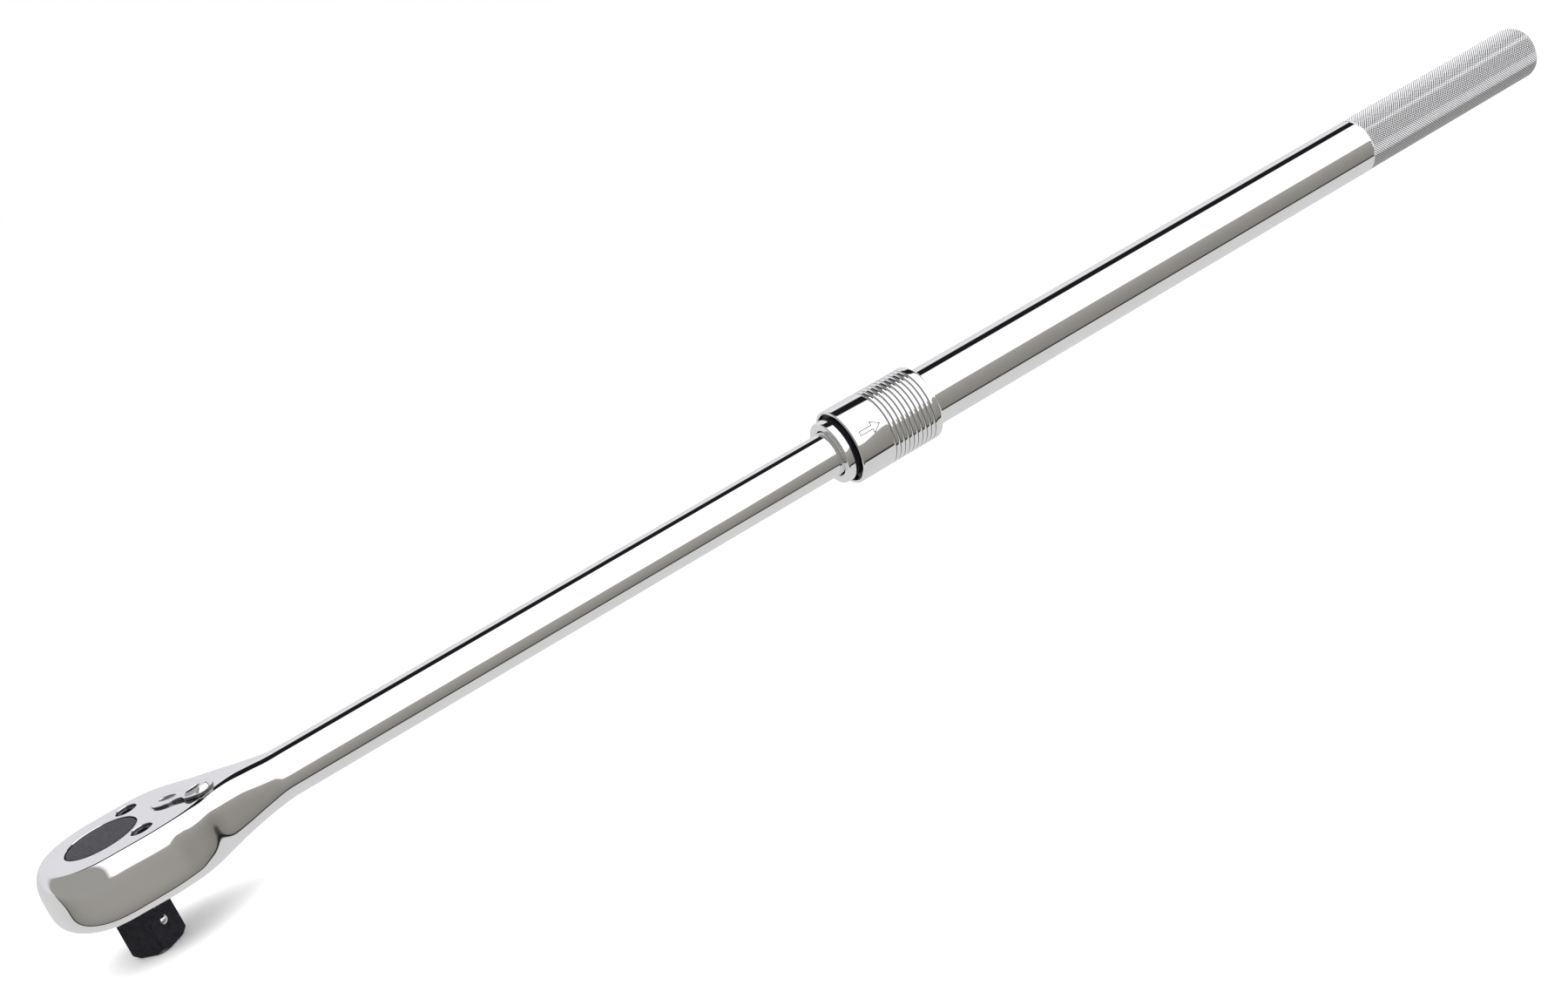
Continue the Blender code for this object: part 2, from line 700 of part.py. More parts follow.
def reverse_lever():
    """Lever, with the shaft that carries the plunger, turned towards the near side."""
    lever = prism("reverse_lever", lever_outline(), LEVER_BASE, LEVER_TOP, CHROME)
    bevel = lever.modifiers.new("soft_edges", "BEVEL")
    bevel.width = LEVER_EDGE_BEVEL
    bevel.segments = 1
    foot = LEVER_TOP - TAB_ROOT
    tab = prism("join_thumb_tab", both_sides(TAB_EDGE), foot, LEVER_TOP + TAB_RISE)
    for vert in tab.data.vertices:
        if vert.co.z > LEVER_TOP:
            vert.co.x = TAB_TOP_X + (vert.co.x - TAB_TOP_X) * TAB_TOP_SHARE[0]
            vert.co.y *= TAB_TOP_SHARE[1]
    shaft = turned(
        "join_lever_shaft",
        [
            (0, LEVER_BASE + SHAFT_ROOT),
            (LEVER_SHAFT_R, LEVER_BASE + SHAFT_ROOT),
            (LEVER_SHAFT_R, SEAL_GROOVE[1]),
            (SEAL_GROOVE_R, SEAL_GROOVE[1]),
            (SEAL_GROOVE_R, SEAL_GROOVE[0]),
            (LEVER_SHAFT_R, SEAL_GROOVE[0]),
            (LEVER_SHAFT_R, CLIP_GROOVE[1]),
            (CLIP_GROOVE_R, CLIP_GROOVE[1]),
            (CLIP_GROOVE_R, CLIP_GROOVE[0]),
            (LEVER_SHAFT_R, CLIP_GROOVE[0]),
            (LEVER_SHAFT_R, SHAFT_FOOT),
            (0, SHAFT_FOOT),
        ],
        None,
        32,
        CUTTERS,
    )
    dimple = bmesh.new()
    bmesh.ops.create_uvsphere(dimple, u_segments=20, v_segments=10, radius=1.0)
    bmesh.ops.scale(dimple, verts=dimple.verts, vec=DIMPLE_SIZE)
    lift = (DIMPLE_CENTRE[0], 0, LEVER_TOP + DIMPLE_CENTRE[1])
    bmesh.ops.translate(dimple, verts=dimple.verts, vec=lift)
    hollow = from_bmesh("cut_lever_dimple", dimple, None, CUTTERS)
    floor = LEVER_TOP - PADDLE_HOLLOW_DEPTH
    thumb = prism("cut_paddle_hollow", both_sides(PADDLE_HOLLOW_EDGE), floor, LEVER_TOP + 4 * MM)
    bore = cylinder("cut_plunger_bore", PLUNGER_R + GAP, PLUNGER_SEAT, PLUNGER_BORE, (0, 0), 20)
    for piece in (lever, tab, shaft, hollow, thumb, bore):
        piece.location = (LEVER_X, 0, AXIS_Z)
        piece.rotation_euler = (0, 0, LEVER_TURN)
    bore.rotation_euler = (0, -math.pi / 2, LEVER_TURN)
    boolean(lever, tab, "UNION")
    boolean(lever, shaft, "UNION")
    boolean(lever, hollow)
    boolean(lever, thumb)
    boolean(lever, bore)


def lever_fittings():
    """Seal, retaining clip, plunger and plunger spring on the lever's shaft."""
    pivot = Vector((LEVER_X, 0, AXIS_Z))
    ring = arc(SEAL_RING_R, sum(SEAL_GROOVE) / 2, SEAL_CORD_R, 0, 315, 7)
    seal = turned("lever_o_ring", ring, RUBBER, 24)
    seal.location = pivot
    outline = split_ring(CLIP_GROOVE_R + GAP, CLIP_R, 20)
    clip = prism("lever_clip", outline, CLIP_GROOVE[0] + GAP, CLIP_GROOVE[1] - GAP, STEEL)
    clip.location = pivot
    plunger = turned(
        "lever_plunger",
        [
            (0, PLUNGER_TIP),
            (0.9 * MM, PLUNGER_TIP - 0.25 * MM),
            (1.5 * MM, PLUNGER_TIP - 0.9 * MM),
            (PLUNGER_R, PLUNGER_TIP - 1.7 * MM),
            (PLUNGER_R, PLUNGER_TAIL),
            (0, PLUNGER_TAIL),
        ],
        STEEL,
        20,
    )
    plunger.rotation_euler = (0, -math.pi / 2, LEVER_TURN)
    plunger.location = pivot
    start = PLUNGER_SEAT + GAP
    spring = coil("plunger_spring", 1.3 * MM, 0.22 * MM, PLUNGER_TAIL - GAP - start, 2, 0.75, 8)
    spring.rotation_euler = (0, -math.pi / 2, LEVER_TURN)
    spring.location = pivot - Vector((math.cos(LEVER_TURN), math.sin(LEVER_TURN), 0)) * start


def split_ring(inner, outer, half_gap_deg):
    """Outline of a flat C ring with its gap at +X."""
    there = circle_points(0, 0, outer, half_gap_deg, 360 - half_gap_deg, 26)
    return there + circle_points(0, 0, inner, 360 - half_gap_deg, half_gap_deg, 26)


def ring_on_bar(name, inner, outer, span, half_gap_deg, surface):
    """A flat C ring round the bar's axis, between two x values."""
    ring = prism(name, split_ring(inner, outer, half_gap_deg), span[0], span[1], surface)
    return along_x(ring)


def bar_end():
    """Guide collar on the bar's inner end, and the ring that keeps it on."""
    inner, outer = SPIGOT_R + GAP, TUBE_BORE_R - 0.35 * MM
    front, rear = BAR_SHOULDER_X + GAP, SPIGOT_GROOVE_X[0] - GAP
    outline = [
        (inner, rear),
        (outer - COLLAR_EDGE, rear),
        (outer, rear - COLLAR_EDGE),
        (outer, front + COLLAR_EDGE),
        (outer - COLLAR_EDGE, front),
        (inner, front),
    ]
    along_x(turned("bar_guide_collar", outline, BRONZE))
    span = (SPIGOT_GROOVE_X[0] + RING_SLACK, SPIGOT_GROOVE_X[1] - RING_SLACK)
    ring_on_bar("bar_end_ring", SPIGOT_GROOVE_R + GAP, END_RING_R, span, 14, STEEL)


def outer_tube():
    """Handle tube with its closed-in grip end, ring grooves and the lock ball's window."""
    end = TUBE_END_X
    r = TUBE_END_ROUND
    rounded = arc(TUBE_R - r, end - r, r, 90, 0, 6)
    grooves = []
    floor = RING_GROOVE_R
    for front, rear in (STOP_RING_X, SNAP_RING_X):
        low, high = front - RING_SLACK, rear + RING_SLACK
        grooves += [(TUBE_R, high), (floor, high), (floor, low), (TUBE_R, low)]
    outline = [(PLUG_BORE_R, end)] + rounded + grooves
    outline += [
        (TUBE_R, TUBE_FRONT_X),
        (TUBE_BORE_R, TUBE_FRONT_X),
        (TUBE_BORE_R, end - TUBE_END_WALL),
        (PLUG_BORE_R, end - TUBE_END_WALL),
    ]
    tube = along_x(turned("outer_tube", outline, CHROME))
    window = cylinder(
        "cut_ball_window", LOCK_BALL_R + GAP, AXIS_Z - 25 * MM, AXIS_Z - 5 * MM, (LOCK_X, 0), 24
    )
    boolean(tube, window)
    face, skirt = end - PLUG_SINK, PLUG_BORE_R - GAP
    plug = [
        (0, face),
        (skirt - PLUG_EDGE, face),
        (skirt, face - PLUG_EDGE),
        (skirt, face - PLUG_LENGTH),
        (skirt - PLUG_WALL, face - PLUG_LENGTH),
        (skirt - PLUG_WALL, face - PLUG_FACE),
        (0, face - PLUG_FACE),
    ]
    along_x(turned("end_plug", plug, CHROME, 32))


def nose_bush():
    """Bush pressed into the tube's mouth, which guides the bar; its flange is the visible nose."""
    flange = TUBE_FRONT_X - GAP
    front = NOSE_FRONT_X
    round_r = NOSE_ROUND
    bore = BAR_R + BAR_CLEARANCE
    outline = [
        (bore, NOSE_SPIGOT_X),
        (TUBE_BORE_R - GAP, NOSE_SPIGOT_X),
        (TUBE_BORE_R - GAP, flange),
        (NOSE_R, flange),
    ]
    outline += arc(NOSE_R - round_r, front + round_r, round_r, 0, -90, 5)
    outline += [(BAR_R + 1.5 * MM, front), (bore, front + NOSE_MOUTH)]
    along_x(turned("nose_bush", outline, CHROME))


def sleeve_outline():
    """Section of the lock sleeve: rounded lips, grip grooves, guide land, ball recess and ramp."""
    front, rear = SLEEVE_FRONT_X, SLEEVE_REAR_X
    lip, heel = SLEEVE_LIP, SLEEVE_REAR_ROUND
    outer = arc(SLEEVE_R - heel, rear - heel, heel, 90, 0, 5)
    for i in range(GROOVES - 1, -1, -1):
        x = GROOVE_FIRST_X + i * GROOVE_PITCH
        half = GROOVE_WIDTH / 2
        outer += [(SLEEVE_R, x + half), (SLEEVE_R - GROOVE_DEPTH, x), (SLEEVE_R, x - half)]
    outer += arc(SLEEVE_R - lip, front + lip, lip, 0, -90, 3)
    guide = SNAP_RING_X[1] + SLEEVE_TRAVEL + GAP
    guide_end = LOCK_X - LOCK_BALL_R - GAP
    land = LOCK_X + RAMP_LENGTH
    inner = [
        (SLEEVE_BORE_R, front),
        (SLEEVE_BORE_R, guide),
        (SLEEVE_GUIDE_R, guide),
        (SLEEVE_GUIDE_R, guide_end),
        (SLEEVE_BORE_R, guide_end),
        (SLEEVE_BORE_R, LOCK_X),
        (SLEEVE_LAND_R, land),
        (SLEEVE_LAND_R, land + LAND_LENGTH),
        (SLEEVE_REAR_BORE_R, land + LAND_LENGTH),
        (SLEEVE_REAR_BORE_R, rear),
    ]
    return outer + inner


def lock_sleeve():
    along_x(turned("lock_sleeve", sleeve_outline(), CHROME))


def lock_fittings():
    """Lock ball, its sleeve's spring and the two rings on the tube."""
    ball("lock_ball", LOCK_BALL_R, (LOCK_X, 0, AXIS_Z - LOCK_BALL_CENTRE_R), STEEL)
    inner = RING_GROOVE_R + GAP
    ring_on_bar("front_snap_ring", inner, SNAP_RING_R, SNAP_RING_X, 9, BLACK)
    ring_on_bar("spring_stop_ring", inner, STOP_RING_R, STOP_RING_X, 5, STEEL)
    start = LOCK_X + RAMP_LENGTH + LAND_LENGTH + GAP
    length = STOP_RING_X[0] - GAP - start
    spring = coil("sleeve_spring", SLEEVE_COIL_R, SLEEVE_WIRE_R, length, 2.8, 0.8, 20)
    spring.rotation_euler = (0, math.pi / 2, 0)
    spring.location = (start, 0, AXIS_Z)


head_forging()
cover_plate()
cover_screws()
drive_gear()
detent()
pawl()
reverse_lever()
lever_fittings()
bar_end()
outer_tube()
nose_bush()
lock_sleeve()
lock_fittings()
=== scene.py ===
"""Looks of the telescopic ratchet handle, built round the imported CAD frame.

Metres, in the CAD's frame: +X along the bar, +Z out of the head's top face, and the origin at the
centre of the drive square's end face.
"""

import json
import math

import bmesh
import bpy
from mathutils import Matrix, Vector


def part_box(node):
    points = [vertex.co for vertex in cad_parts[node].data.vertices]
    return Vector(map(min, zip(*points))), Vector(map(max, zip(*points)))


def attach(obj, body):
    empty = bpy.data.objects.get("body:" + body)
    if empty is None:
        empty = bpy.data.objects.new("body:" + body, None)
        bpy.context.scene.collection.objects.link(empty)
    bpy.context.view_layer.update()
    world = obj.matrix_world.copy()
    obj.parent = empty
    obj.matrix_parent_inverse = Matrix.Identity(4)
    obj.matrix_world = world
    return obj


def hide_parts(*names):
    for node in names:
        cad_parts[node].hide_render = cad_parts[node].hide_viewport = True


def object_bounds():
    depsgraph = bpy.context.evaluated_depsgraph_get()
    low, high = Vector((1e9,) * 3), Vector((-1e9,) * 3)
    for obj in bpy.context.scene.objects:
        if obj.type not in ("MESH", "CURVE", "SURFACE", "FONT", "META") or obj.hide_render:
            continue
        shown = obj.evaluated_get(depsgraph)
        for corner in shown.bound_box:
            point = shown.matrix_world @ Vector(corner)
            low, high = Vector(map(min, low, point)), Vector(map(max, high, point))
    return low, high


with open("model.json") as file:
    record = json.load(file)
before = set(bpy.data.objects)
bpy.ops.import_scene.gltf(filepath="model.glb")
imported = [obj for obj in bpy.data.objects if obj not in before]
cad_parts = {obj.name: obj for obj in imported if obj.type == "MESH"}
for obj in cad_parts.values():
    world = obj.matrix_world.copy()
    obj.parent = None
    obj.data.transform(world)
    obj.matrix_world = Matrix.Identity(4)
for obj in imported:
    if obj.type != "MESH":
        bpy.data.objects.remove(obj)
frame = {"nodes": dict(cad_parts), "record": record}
CAD_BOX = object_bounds()

MM = 0.001


# ---------------------------------------------------------------- sizes and settings
def centre(node):
    low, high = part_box(node)
    return (low + high) / 2


def half_depth(node):
    """Half of a node's size across the bar, from front to back."""
    low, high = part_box(node)
    return (high.y - low.y) / 2


TUBE_LOW, TUBE_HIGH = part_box("outer_tube")
SLEEVE_LOW, SLEEVE_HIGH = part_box("lock_sleeve")
NOSE_LOW, NOSE_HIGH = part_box("nose_bush")
HEAD_LOW, HEAD_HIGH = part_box("head_forging")
RING_LOW, RING_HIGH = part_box("front_snap_ring")
STOP_LOW, STOP_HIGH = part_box("spring_stop_ring")
COVER_LOW, COVER_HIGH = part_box("cover_plate")
PLUG_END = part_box("end_plug")[1].x
AXIS_Z = centre("outer_tube").z
ON_AXIS = (0, 0, AXIS_Z)
TUBE_R = half_depth("outer_tube")
SLEEVE_R = half_depth("lock_sleeve")
NOSE_R = half_depth("nose_bush")
LOCK_X = centre("lock_ball").x
BAR_R = 12.5 * MM
GAP = 0.3 * MM  # clearance between pieces that move or are fitted
BEYOND = 30 * MM  # past every face of the head, for cutters that go right through

# Head
HEAD_FRONT_R = -HEAD_LOW.x
HEAD_TOP = 17.2 * MM
PLAN_POWER = 2.1  # squareness of the head's front, seen from above; 2 is an ellipse
FRONT_SOFTENING = 1.3  # how much rounder the section gets towards the front of the head
FRONT_FLAT_LOSS = 0.03  # how much of the flat top's share goes there
FRONT_SECTIONS = 72
# (x, half width, top height, bottom depth, squareness, flat share of the top), lengths in millimetres
HEAD_STATIONS = (
    (0, 35.0, 17.2, 16.6, 4.6, 0.870),
    (16, 35.6, 17.2, 16.6, 4.5, 0.865),
    (30, 33.6, 16.95, 16.6, 4.3, 0.85),
    (38, 29.8, 16.5, 16.5, 4.1, 0.82),
    (50, 21.6, 15.9, 15.8, 3.6, 0.72),
    (60, 17.3, 15.3, 14.7, 3.0, 0.55),
    (72, 14.4, 14.0, 13.4, 2.4, 0.25),
    (86, 12.5, 12.5, 12.5, 2.0, 0.0),
)
NECK_END = HEAD_STATIONS[-1][0]
STATION_STEP = 1.25  # millimetres between the sections drawn
BLEND_REACH, BLEND_SAMPLES = 4.0, 9  # millimetres to average the stations over, and samples on each side
FLAT_POINTS, UPPER_POINTS, LOWER_POINTS = 14, 44, 40
EDGE = 0.45 * MM  # half width of the softened edge round the flat top
NO_FLAT = 1e-3  # share of the reach that stands in for the flat top on the round bar
HEAD_CREASE = 24  # degrees, above which an edge of the forging stays sharp
MERGE = 1e-6  # points nearer than this are joined
CHAMBER_R = 20.5 * MM
CHAMBER_ROOF = 9.0 * MM
COVER_SEAT = -11.4 * MM
COVER_R, COVER_TAIL_R, COVER_EAR_R = 23.8 * MM, 9.5 * MM, 6.6 * MM  # round gear, lever and screws
COVER_EDGE = 0.4 * MM
PAWL_ROOM_R, PAWL_ROOM_INNER_R = 27.3 * MM, CHAMBER_R - 3 * MM
PAWL_ROOM_HALF = 37  # degrees
PAWL_ROOM_ROOF = 7.2 * MM
PLUNGER_ROOM_HALF, PLUNGER_ROOM_HALF_HEIGHT = 5.2 * MM, 4 * MM
HOLE_FLARE = 0.2 * MM

# Cover screws, seen in the round recesses of the top face
SCREWS = {"near": centre("cover_screw_near"), "far": centre("cover_screw_far")}
SCREW_R = 5.0 * MM
SCREW_ROOM_R = SCREW_R + 0.25 * MM
SHANK_R = 3.0 * MM
SCREW_TOP = 16.2 * MM
SCREW_HEAD = 6.0 * MM
SCREW_EDGE = 0.6 * MM
SCREW_TIP = 0.7 * MM  # its chamfer
SCREW_SHORT = 0.3 * MM  # from the cover's outer face
KEY_R, KEY_DEPTH = 2.9 * MM, 3 * MM  # hexagon socket

# Reversing lever, drawn along +X with its pivot at the origin, and turned into place at the end
PIVOT = centre("lever_o_ring")
LEVER_TURN = math.radians(-42)
LEVER_BASE = 16.5 * MM
LEVER_TOP = 18.1 * MM
LEVER_SEAT_R = 8.6 * MM
LEVER_BORE_R = 5.2 * MM
LEVER_HUB_R, LEVER_HUB_START = 7.6 * MM, 42  # the arm leaves the hub at this angle, in degrees
# One side of the arm from the hub to the tip, in millimetres
LEVER_SIDE = (
    (8.4, -4.35), (10.4, -4.1), (11.8, -5.2), (13.2, -6.4), (15.2, -7.1), (17.6, -7.25),
    (20.0, -6.9), (22.0, -5.8), (23.6, -4.2), (24.7, -2.2), (25.0, -0.8),
)
LEVER_EDGE = 0.55 * MM
TAB_SIDE = ((18.4, -6.0), (20.4, -5.9), (22.4, -4.9), (23.8, -3.2), (24.5, -1.2))
TAB_RISE, TAB_ROOT, TAB_EDGE = 2.2 * MM, 1.0 * MM, 0.5 * MM
TAB_MIDDLE = 21.9 * MM
TAB_TAPER_X, TAB_TAPER_Y = 0.5, 0.62  # size of the tab's top against its foot
SHAFT_R, SHAFT_OVERLAP, SHAFT_END = 4.9 * MM, 0.6 * MM, -10.7 * MM
SEAL_GROOVE_R, SEAL_GROOVE = 3.3 * MM, (11.0 * MM, 13.2 * MM)
CLIP_GROOVE_R, CLIP_GROOVE = 3.8 * MM, (-9.6 * MM, -8.1 * MM)
CLIP_ROOM_R, CLIP_ROOM_ROOF = 7.0 * MM, -7.5 * MM
PLUNGER_BORE_R, PLUNGER_BORE = 2.05 * MM, (-8 * MM, 2.5 * MM)
# Half sizes and centres of the two hollows pressed into the lever's top
DIMPLE_SIZE, DIMPLE_SPOT = (5.0 * MM, 2.7 * MM, 1.3 * MM), (0.5 * MM, 0, LEVER_TOP + 0.15 * MM)
THUMB_SIZE, THUMB_SPOT = (4.4 * MM, 6.0 * MM, 1.6 * MM), (15.2 * MM, 0, LEVER_TOP + 0.5 * MM)

# Drive
SQUARE = 19.05 * MM
SQUARE_EDGE = 0.5 * MM
CORNER_R = SQUARE / math.sqrt(2)
# The square's turned end: (radius, height over the end face)
SQUARE_END = (
    (10.6 * MM, 0), (11.0 * MM, 0.12 * MM), (CORNER_R - 0.35 * MM, 1.8 * MM),
    (CORNER_R - 0.12 * MM, 3 * MM), (CORNER_R - 0.12 * MM, AXIS_Z),
)
SQUARE_TURN = math.radians(-3.7)
BALL_CENTRE = centre("detent_ball")
BALL_HEADING = math.atan2(BALL_CENTRE.y, BALL_CENTRE.x)
DETENT_BALL_R, LOCK_BALL_R = 3.0 * MM, 4.0 * MM
# The detent ball's bore: (radius, distance from the drive's axis)
BALL_BORE = (
    (2.8 * MM, SQUARE / 2 + 2 * MM), (2.8 * MM, SQUARE / 2), (2.5 * MM, SQUARE / 2 - 0.3 * MM),
    (3.3 * MM, SQUARE / 2 - 1.2 * MM), (3.3 * MM, -5.6 * MM),
)
DISC_R = 17.4 * MM
DISC_TOP = 17.0 * MM
DISC_RIM = 1.1 * MM
BOSS_R = 14.2 * MM
BOSS_TOP, BOSS_BOTTOM = -1 * MM, -17.0 * MM
BOSS_EDGE = 0.4 * MM
TEETH = 36
GEAR_TIP_R, GEAR_ROOT_R, GEAR_HALF = 20.0 * MM, 18.6 * MM, 8.6 * MM
TOOTH = ((0, GEAR_ROOT_R), (0.42, GEAR_TIP_R), (0.58, GEAR_TIP_R))  # (share of the pitch, radius)

# Bar, tube and sleeve
BAR_END_X = HEAD_HIGH.x
BAR_SHOULDER_X = BAR_END_X - 14 * MM
BAR_MIDWAY = (300 * MM, 150 * MM)  # two more sections along the plain bar
SHOULDER_CHAMFER, SPIGOT_CHAMFER = 0.8 * MM, 0.5 * MM
SPIGOT_R, SPIGOT_GROOVE_R = 10.0 * MM, 9.0 * MM
SPIGOT_GROOVE = (BAR_END_X - 3.8 * MM, BAR_END_X - 2.2 * MM)
LOCK_PITCH = 25.4 * MM
POCKETS_IN, POCKETS_OUT = 12, 1
KEYWAY_HALF, KEYWAY_FLOOR_R = 3.2 * MM, 11.0 * MM
KEYWAY_PAST = 4 * MM  # beyond its last pockets
POCKET_R, POCKET_FLOOR_R = 4.25 * MM, 9.4 * MM
TUBE_BORE_R = 13.65 * MM
TUBE_ROUND = 5.5 * MM
TUBE_CHAMFER = 0.3 * MM
END_WALL = 6.0 * MM  # thickness of the tube's end round the plug
PLUG_BORE_R = 8.3 * MM
PLUG_R = PLUG_BORE_R - GAP
PLUG_CROWN, PLUG_DISH = 0.5 * MM, 0.02 * MM
PLUG_LENGTH, PLUG_WALL, PLUG_FACE = 8.8 * MM, 2.2 * MM, 2.8 * MM
RING_GROOVE_R = 15.6 * MM
RING_SLACK = 0.1 * MM
LOCK_WINDOW_R = 4.3 * MM
KNURL_START = 802 * MM
KNURL_LEAD = 1.2 * MM  # smooth ring kept just in front of the knurl
KNURL_BEND = math.radians(72)  # how far the knurl follows the rounded end
FINISH_STEPS = 4  # on the rest of it
KNURL_ROUND = 64  # diamonds round the grip
KNURL_PITCH = 2 * math.pi * TUBE_R / KNURL_ROUND
KNURL_DEPTH = 0.42 * MM
SLEEVE_LIP, SLEEVE_HEEL = 1.0 * MM, 2.5 * MM
SLEEVE_BORE_R, SLEEVE_BORE_CHAMFER = 19.65 * MM, 0.35 * MM
SLEEVE_REAR_BORE_R = 18.9 * MM
SLEEVE_GUIDE_R = 17.15 * MM
SLEEVE_LAND_R = 17.75 * MM
SLEEVE_TRAVEL = 5 * MM
RAMP_LENGTH = 5.94 * MM
LAND_LENGTH = 6.0 * MM
GROOVES = 10
GROOVE_FIRST_X = 437 * MM
GROOVE_PITCH = 2.95 * MM
GROOVE_DEPTH = 0.60 * MM
GROOVE_FLOOR = 0.22 * MM  # half width of the painted shade strip at the bottom of a groove
GROOVE_POWER = 2.2  # how narrow the grooves are between the rounded ribs
ARROW_TAIL, ARROW_NECK, ARROW_TIP = 419.8 * MM, 427.6 * MM, 432.4 * MM
ARROW_SHAFT, ARROW_BARB = 1.1 * MM, 3.2 * MM  # half widths
ARROW_LINE = 0.45 * MM
ARROW_HEADING = math.radians(20)  # up from the near side
ARROW_SUNK, ARROW_PROUD = -0.05 * MM, 0.03 * MM
ARROW_STEPS = 8
NOSE_COLLAR_END = 412.4 * MM
NOSE_LIP = 1.1 * MM
NOSE_BORE_R = BAR_R + 0.25 * MM
NOSE_MOUTH, NOSE_MOUTH_ROUND = 1.5 * MM, 1.2 * MM
SHADED_STEP_R = 16.6 * MM

CREST = "crest"  # vertex attribute: 1 on a diamond's tip, 0 in the valleys; it sets the knurl's painted shade

# Spans of the noise that the materials use
ROUGHNESS_SPAN, TINT_SPAN = (0.35, 0.65), (0.35, 0.7)

# Steps round
ROUND = 2 * KNURL_ROUND  # the tube: two for each diamond
FINE_ROUND = 192  # the sleeve and the nose
DISC_ROUND = 144

# Studio. The photo's room is seen only in the chrome, as bands of light round the bar.
FLOOR_HALF = 5.0
FLOOR_DROP = 0.5 * MM  # under the part's lowest point
MIDDLE_X = 0.5
LAMP_SIZE, LAMP_HEIGHT, LAMP_POWER = 16.0, 5.0, 1500.0
CARD = (1.7, 1.7, 1.7)  # the big white softbox in front and overhead
FLAG = (0.012, 0.012, 0.013)  # black flag behind it
BACK_HIGH = (0.95, 0.95, 0.96)
BACK_TOP = (0.80, 0.80, 0.83)  # backdrop, as the head's top face shows it
BACK_LOW = (0.72, 0.72, 0.72)
UNDER = (0.70, 0.70, 0.69)  # light from straight below
LINE = (0.012, 0.012, 0.012)  # thin dark line between it and the floor
FLOOR_NEAR = (0.25, 0.24, 0.22)
FLOOR_FAR = (0.40, 0.385, 0.36)
SIDE_WALL = (0.36, 0.35, 0.33)
# (degrees round the bar, colour): 0 is level towards the camera, 90 straight up
BANDS = (
    (-180, BACK_LOW), (-140, BACK_LOW), (-64, UNDER), (-61, UNDER), (-59.5, LINE), (-55.5, LINE),
    (-53, FLOOR_NEAR), (-6, FLOOR_FAR), (-1, CARD), (101, CARD), (106, FLAG), (131, FLAG),
    (136, BACK_HIGH), (150, BACK_TOP), (166, BACK_TOP), (180, BACK_LOW),
)
# Each pair is where a change begins and ends: of a direction's X, or of its angle round the bar
CURVE_X, CURVE_PULL = (-0.15, -1.15), 0.5
STEP_UP_X, STEP_DOWN_X, STEP_HEIGHT = (0.35, 0.45), (0.64, 0.95), math.radians(13)
STEP_ANGLE = (math.radians(50), math.radians(20))
WALL_X = (-0.14, -0.30)
WALL_LOW, WALL_HIGH = (math.radians(-20), math.radians(-8)), (math.radians(150), math.radians(131))

# Camera: low over the near side of the head, looking along the bar
CAMERA_PLACE = (-28.82 * MM, -966.3 * MM, AXIS_Z + 308.35 * MM)
CAMERA_ANGLES = (71.803, 22.533, -29.858)
CAMERA_SENSOR, CAMERA_LENS, CAMERA_REACH = 36, 48.06, 100


# ---------------------------------------------------------------- shader nodes
def range_node(tree, value, span, low=0.0, high=1.0):
    """low where the span starts, high where it ends, and straight between; a span may run down."""
    node = tree.nodes.new("ShaderNodeMapRange")
    settings = (("From Min", span[0]), ("From Max", span[1]), ("To Min", low), ("To Max", high))
    for name, number in settings:
        node.inputs[name].default_value = number
    tree.links.new(value, node.inputs["Value"])
    return node.outputs["Result"]


def math_node(tree, operation, *values):
    """A sum of numbers and other nodes' outputs."""
    node = tree.nodes.new("ShaderNodeMath")
    node.operation = operation
    for socket, value in zip(node.inputs, values):
        if isinstance(value, float):
            socket.default_value = value
        else:
            tree.links.new(value, socket)
    return node.outputs["Value"]


def ramp_node(tree, value, stops):
    """Colours between the stops, which are (position, colour) in rising order."""
    node = tree.nodes.new("ShaderNodeValToRGB")
    elements = node.color_ramp.elements
    while len(elements) < len(stops):
        elements.new(0.5)
    for element, (position, colour) in zip(elements, stops):
        element.position = position
        element.color = (*colour, 1)
    tree.links.new(value, node.inputs["Fac"])
    return node.outputs["Color"]


# ---------------------------------------------------------------- materials
def shader_of(material):
    return material.node_tree.nodes["Principled BSDF"]


def new_material(name, colour, metallic, roughness):
    material = bpy.data.materials.new(name)
    material.use_nodes = True
    shader = shader_of(material)
    shader.inputs["Base Color"].default_value = (*colour, 1)
    shader.inputs["Metallic"].default_value = metallic
    shader.inputs["Roughness"].default_value = roughness
    return material


def add(material, kind, **values):
    """A new node with its sockets or settings filled in."""
    node = material.node_tree.nodes.new(kind)
    for name, value in values.items():
        if name in node.inputs:
            node.inputs[name].default_value = value
        else:
            setattr(node, name, value)
    return node


def link(material, source, target):
    material.node_tree.links.new(source, target)


def noise_fac(material, scale, detail, stretch=(1, 1, 1)):
    """Noise fixed to the object's own coordinates, stretched along an axis for brushed marks."""
    place = add(material, "ShaderNodeTexCoord")
    spread = add(material, "ShaderNodeMapping", Scale=stretch)
    noise = add(material, "ShaderNodeTexNoise", Scale=scale, Detail=detail, Roughness=0.6)
    link(material, place.outputs["Object"], spread.inputs["Vector"])
    link(material, spread.outputs["Vector"], noise.inputs["Vector"])
    return noise.outputs["Fac"]


def vary_roughness(material, noise, low, high):
    level = range_node(material.node_tree, noise, ROUGHNESS_SPAN, low, high)
    link(material, level, shader_of(material).inputs["Roughness"])


def tint(material, noise, first, second):
    """Drives the base colour between two colours with a noise."""
    colour = ramp_node(material.node_tree, noise, tuple(zip(TINT_SPAN, (first, second))))
    link(material, colour, shader_of(material).inputs["Base Color"])


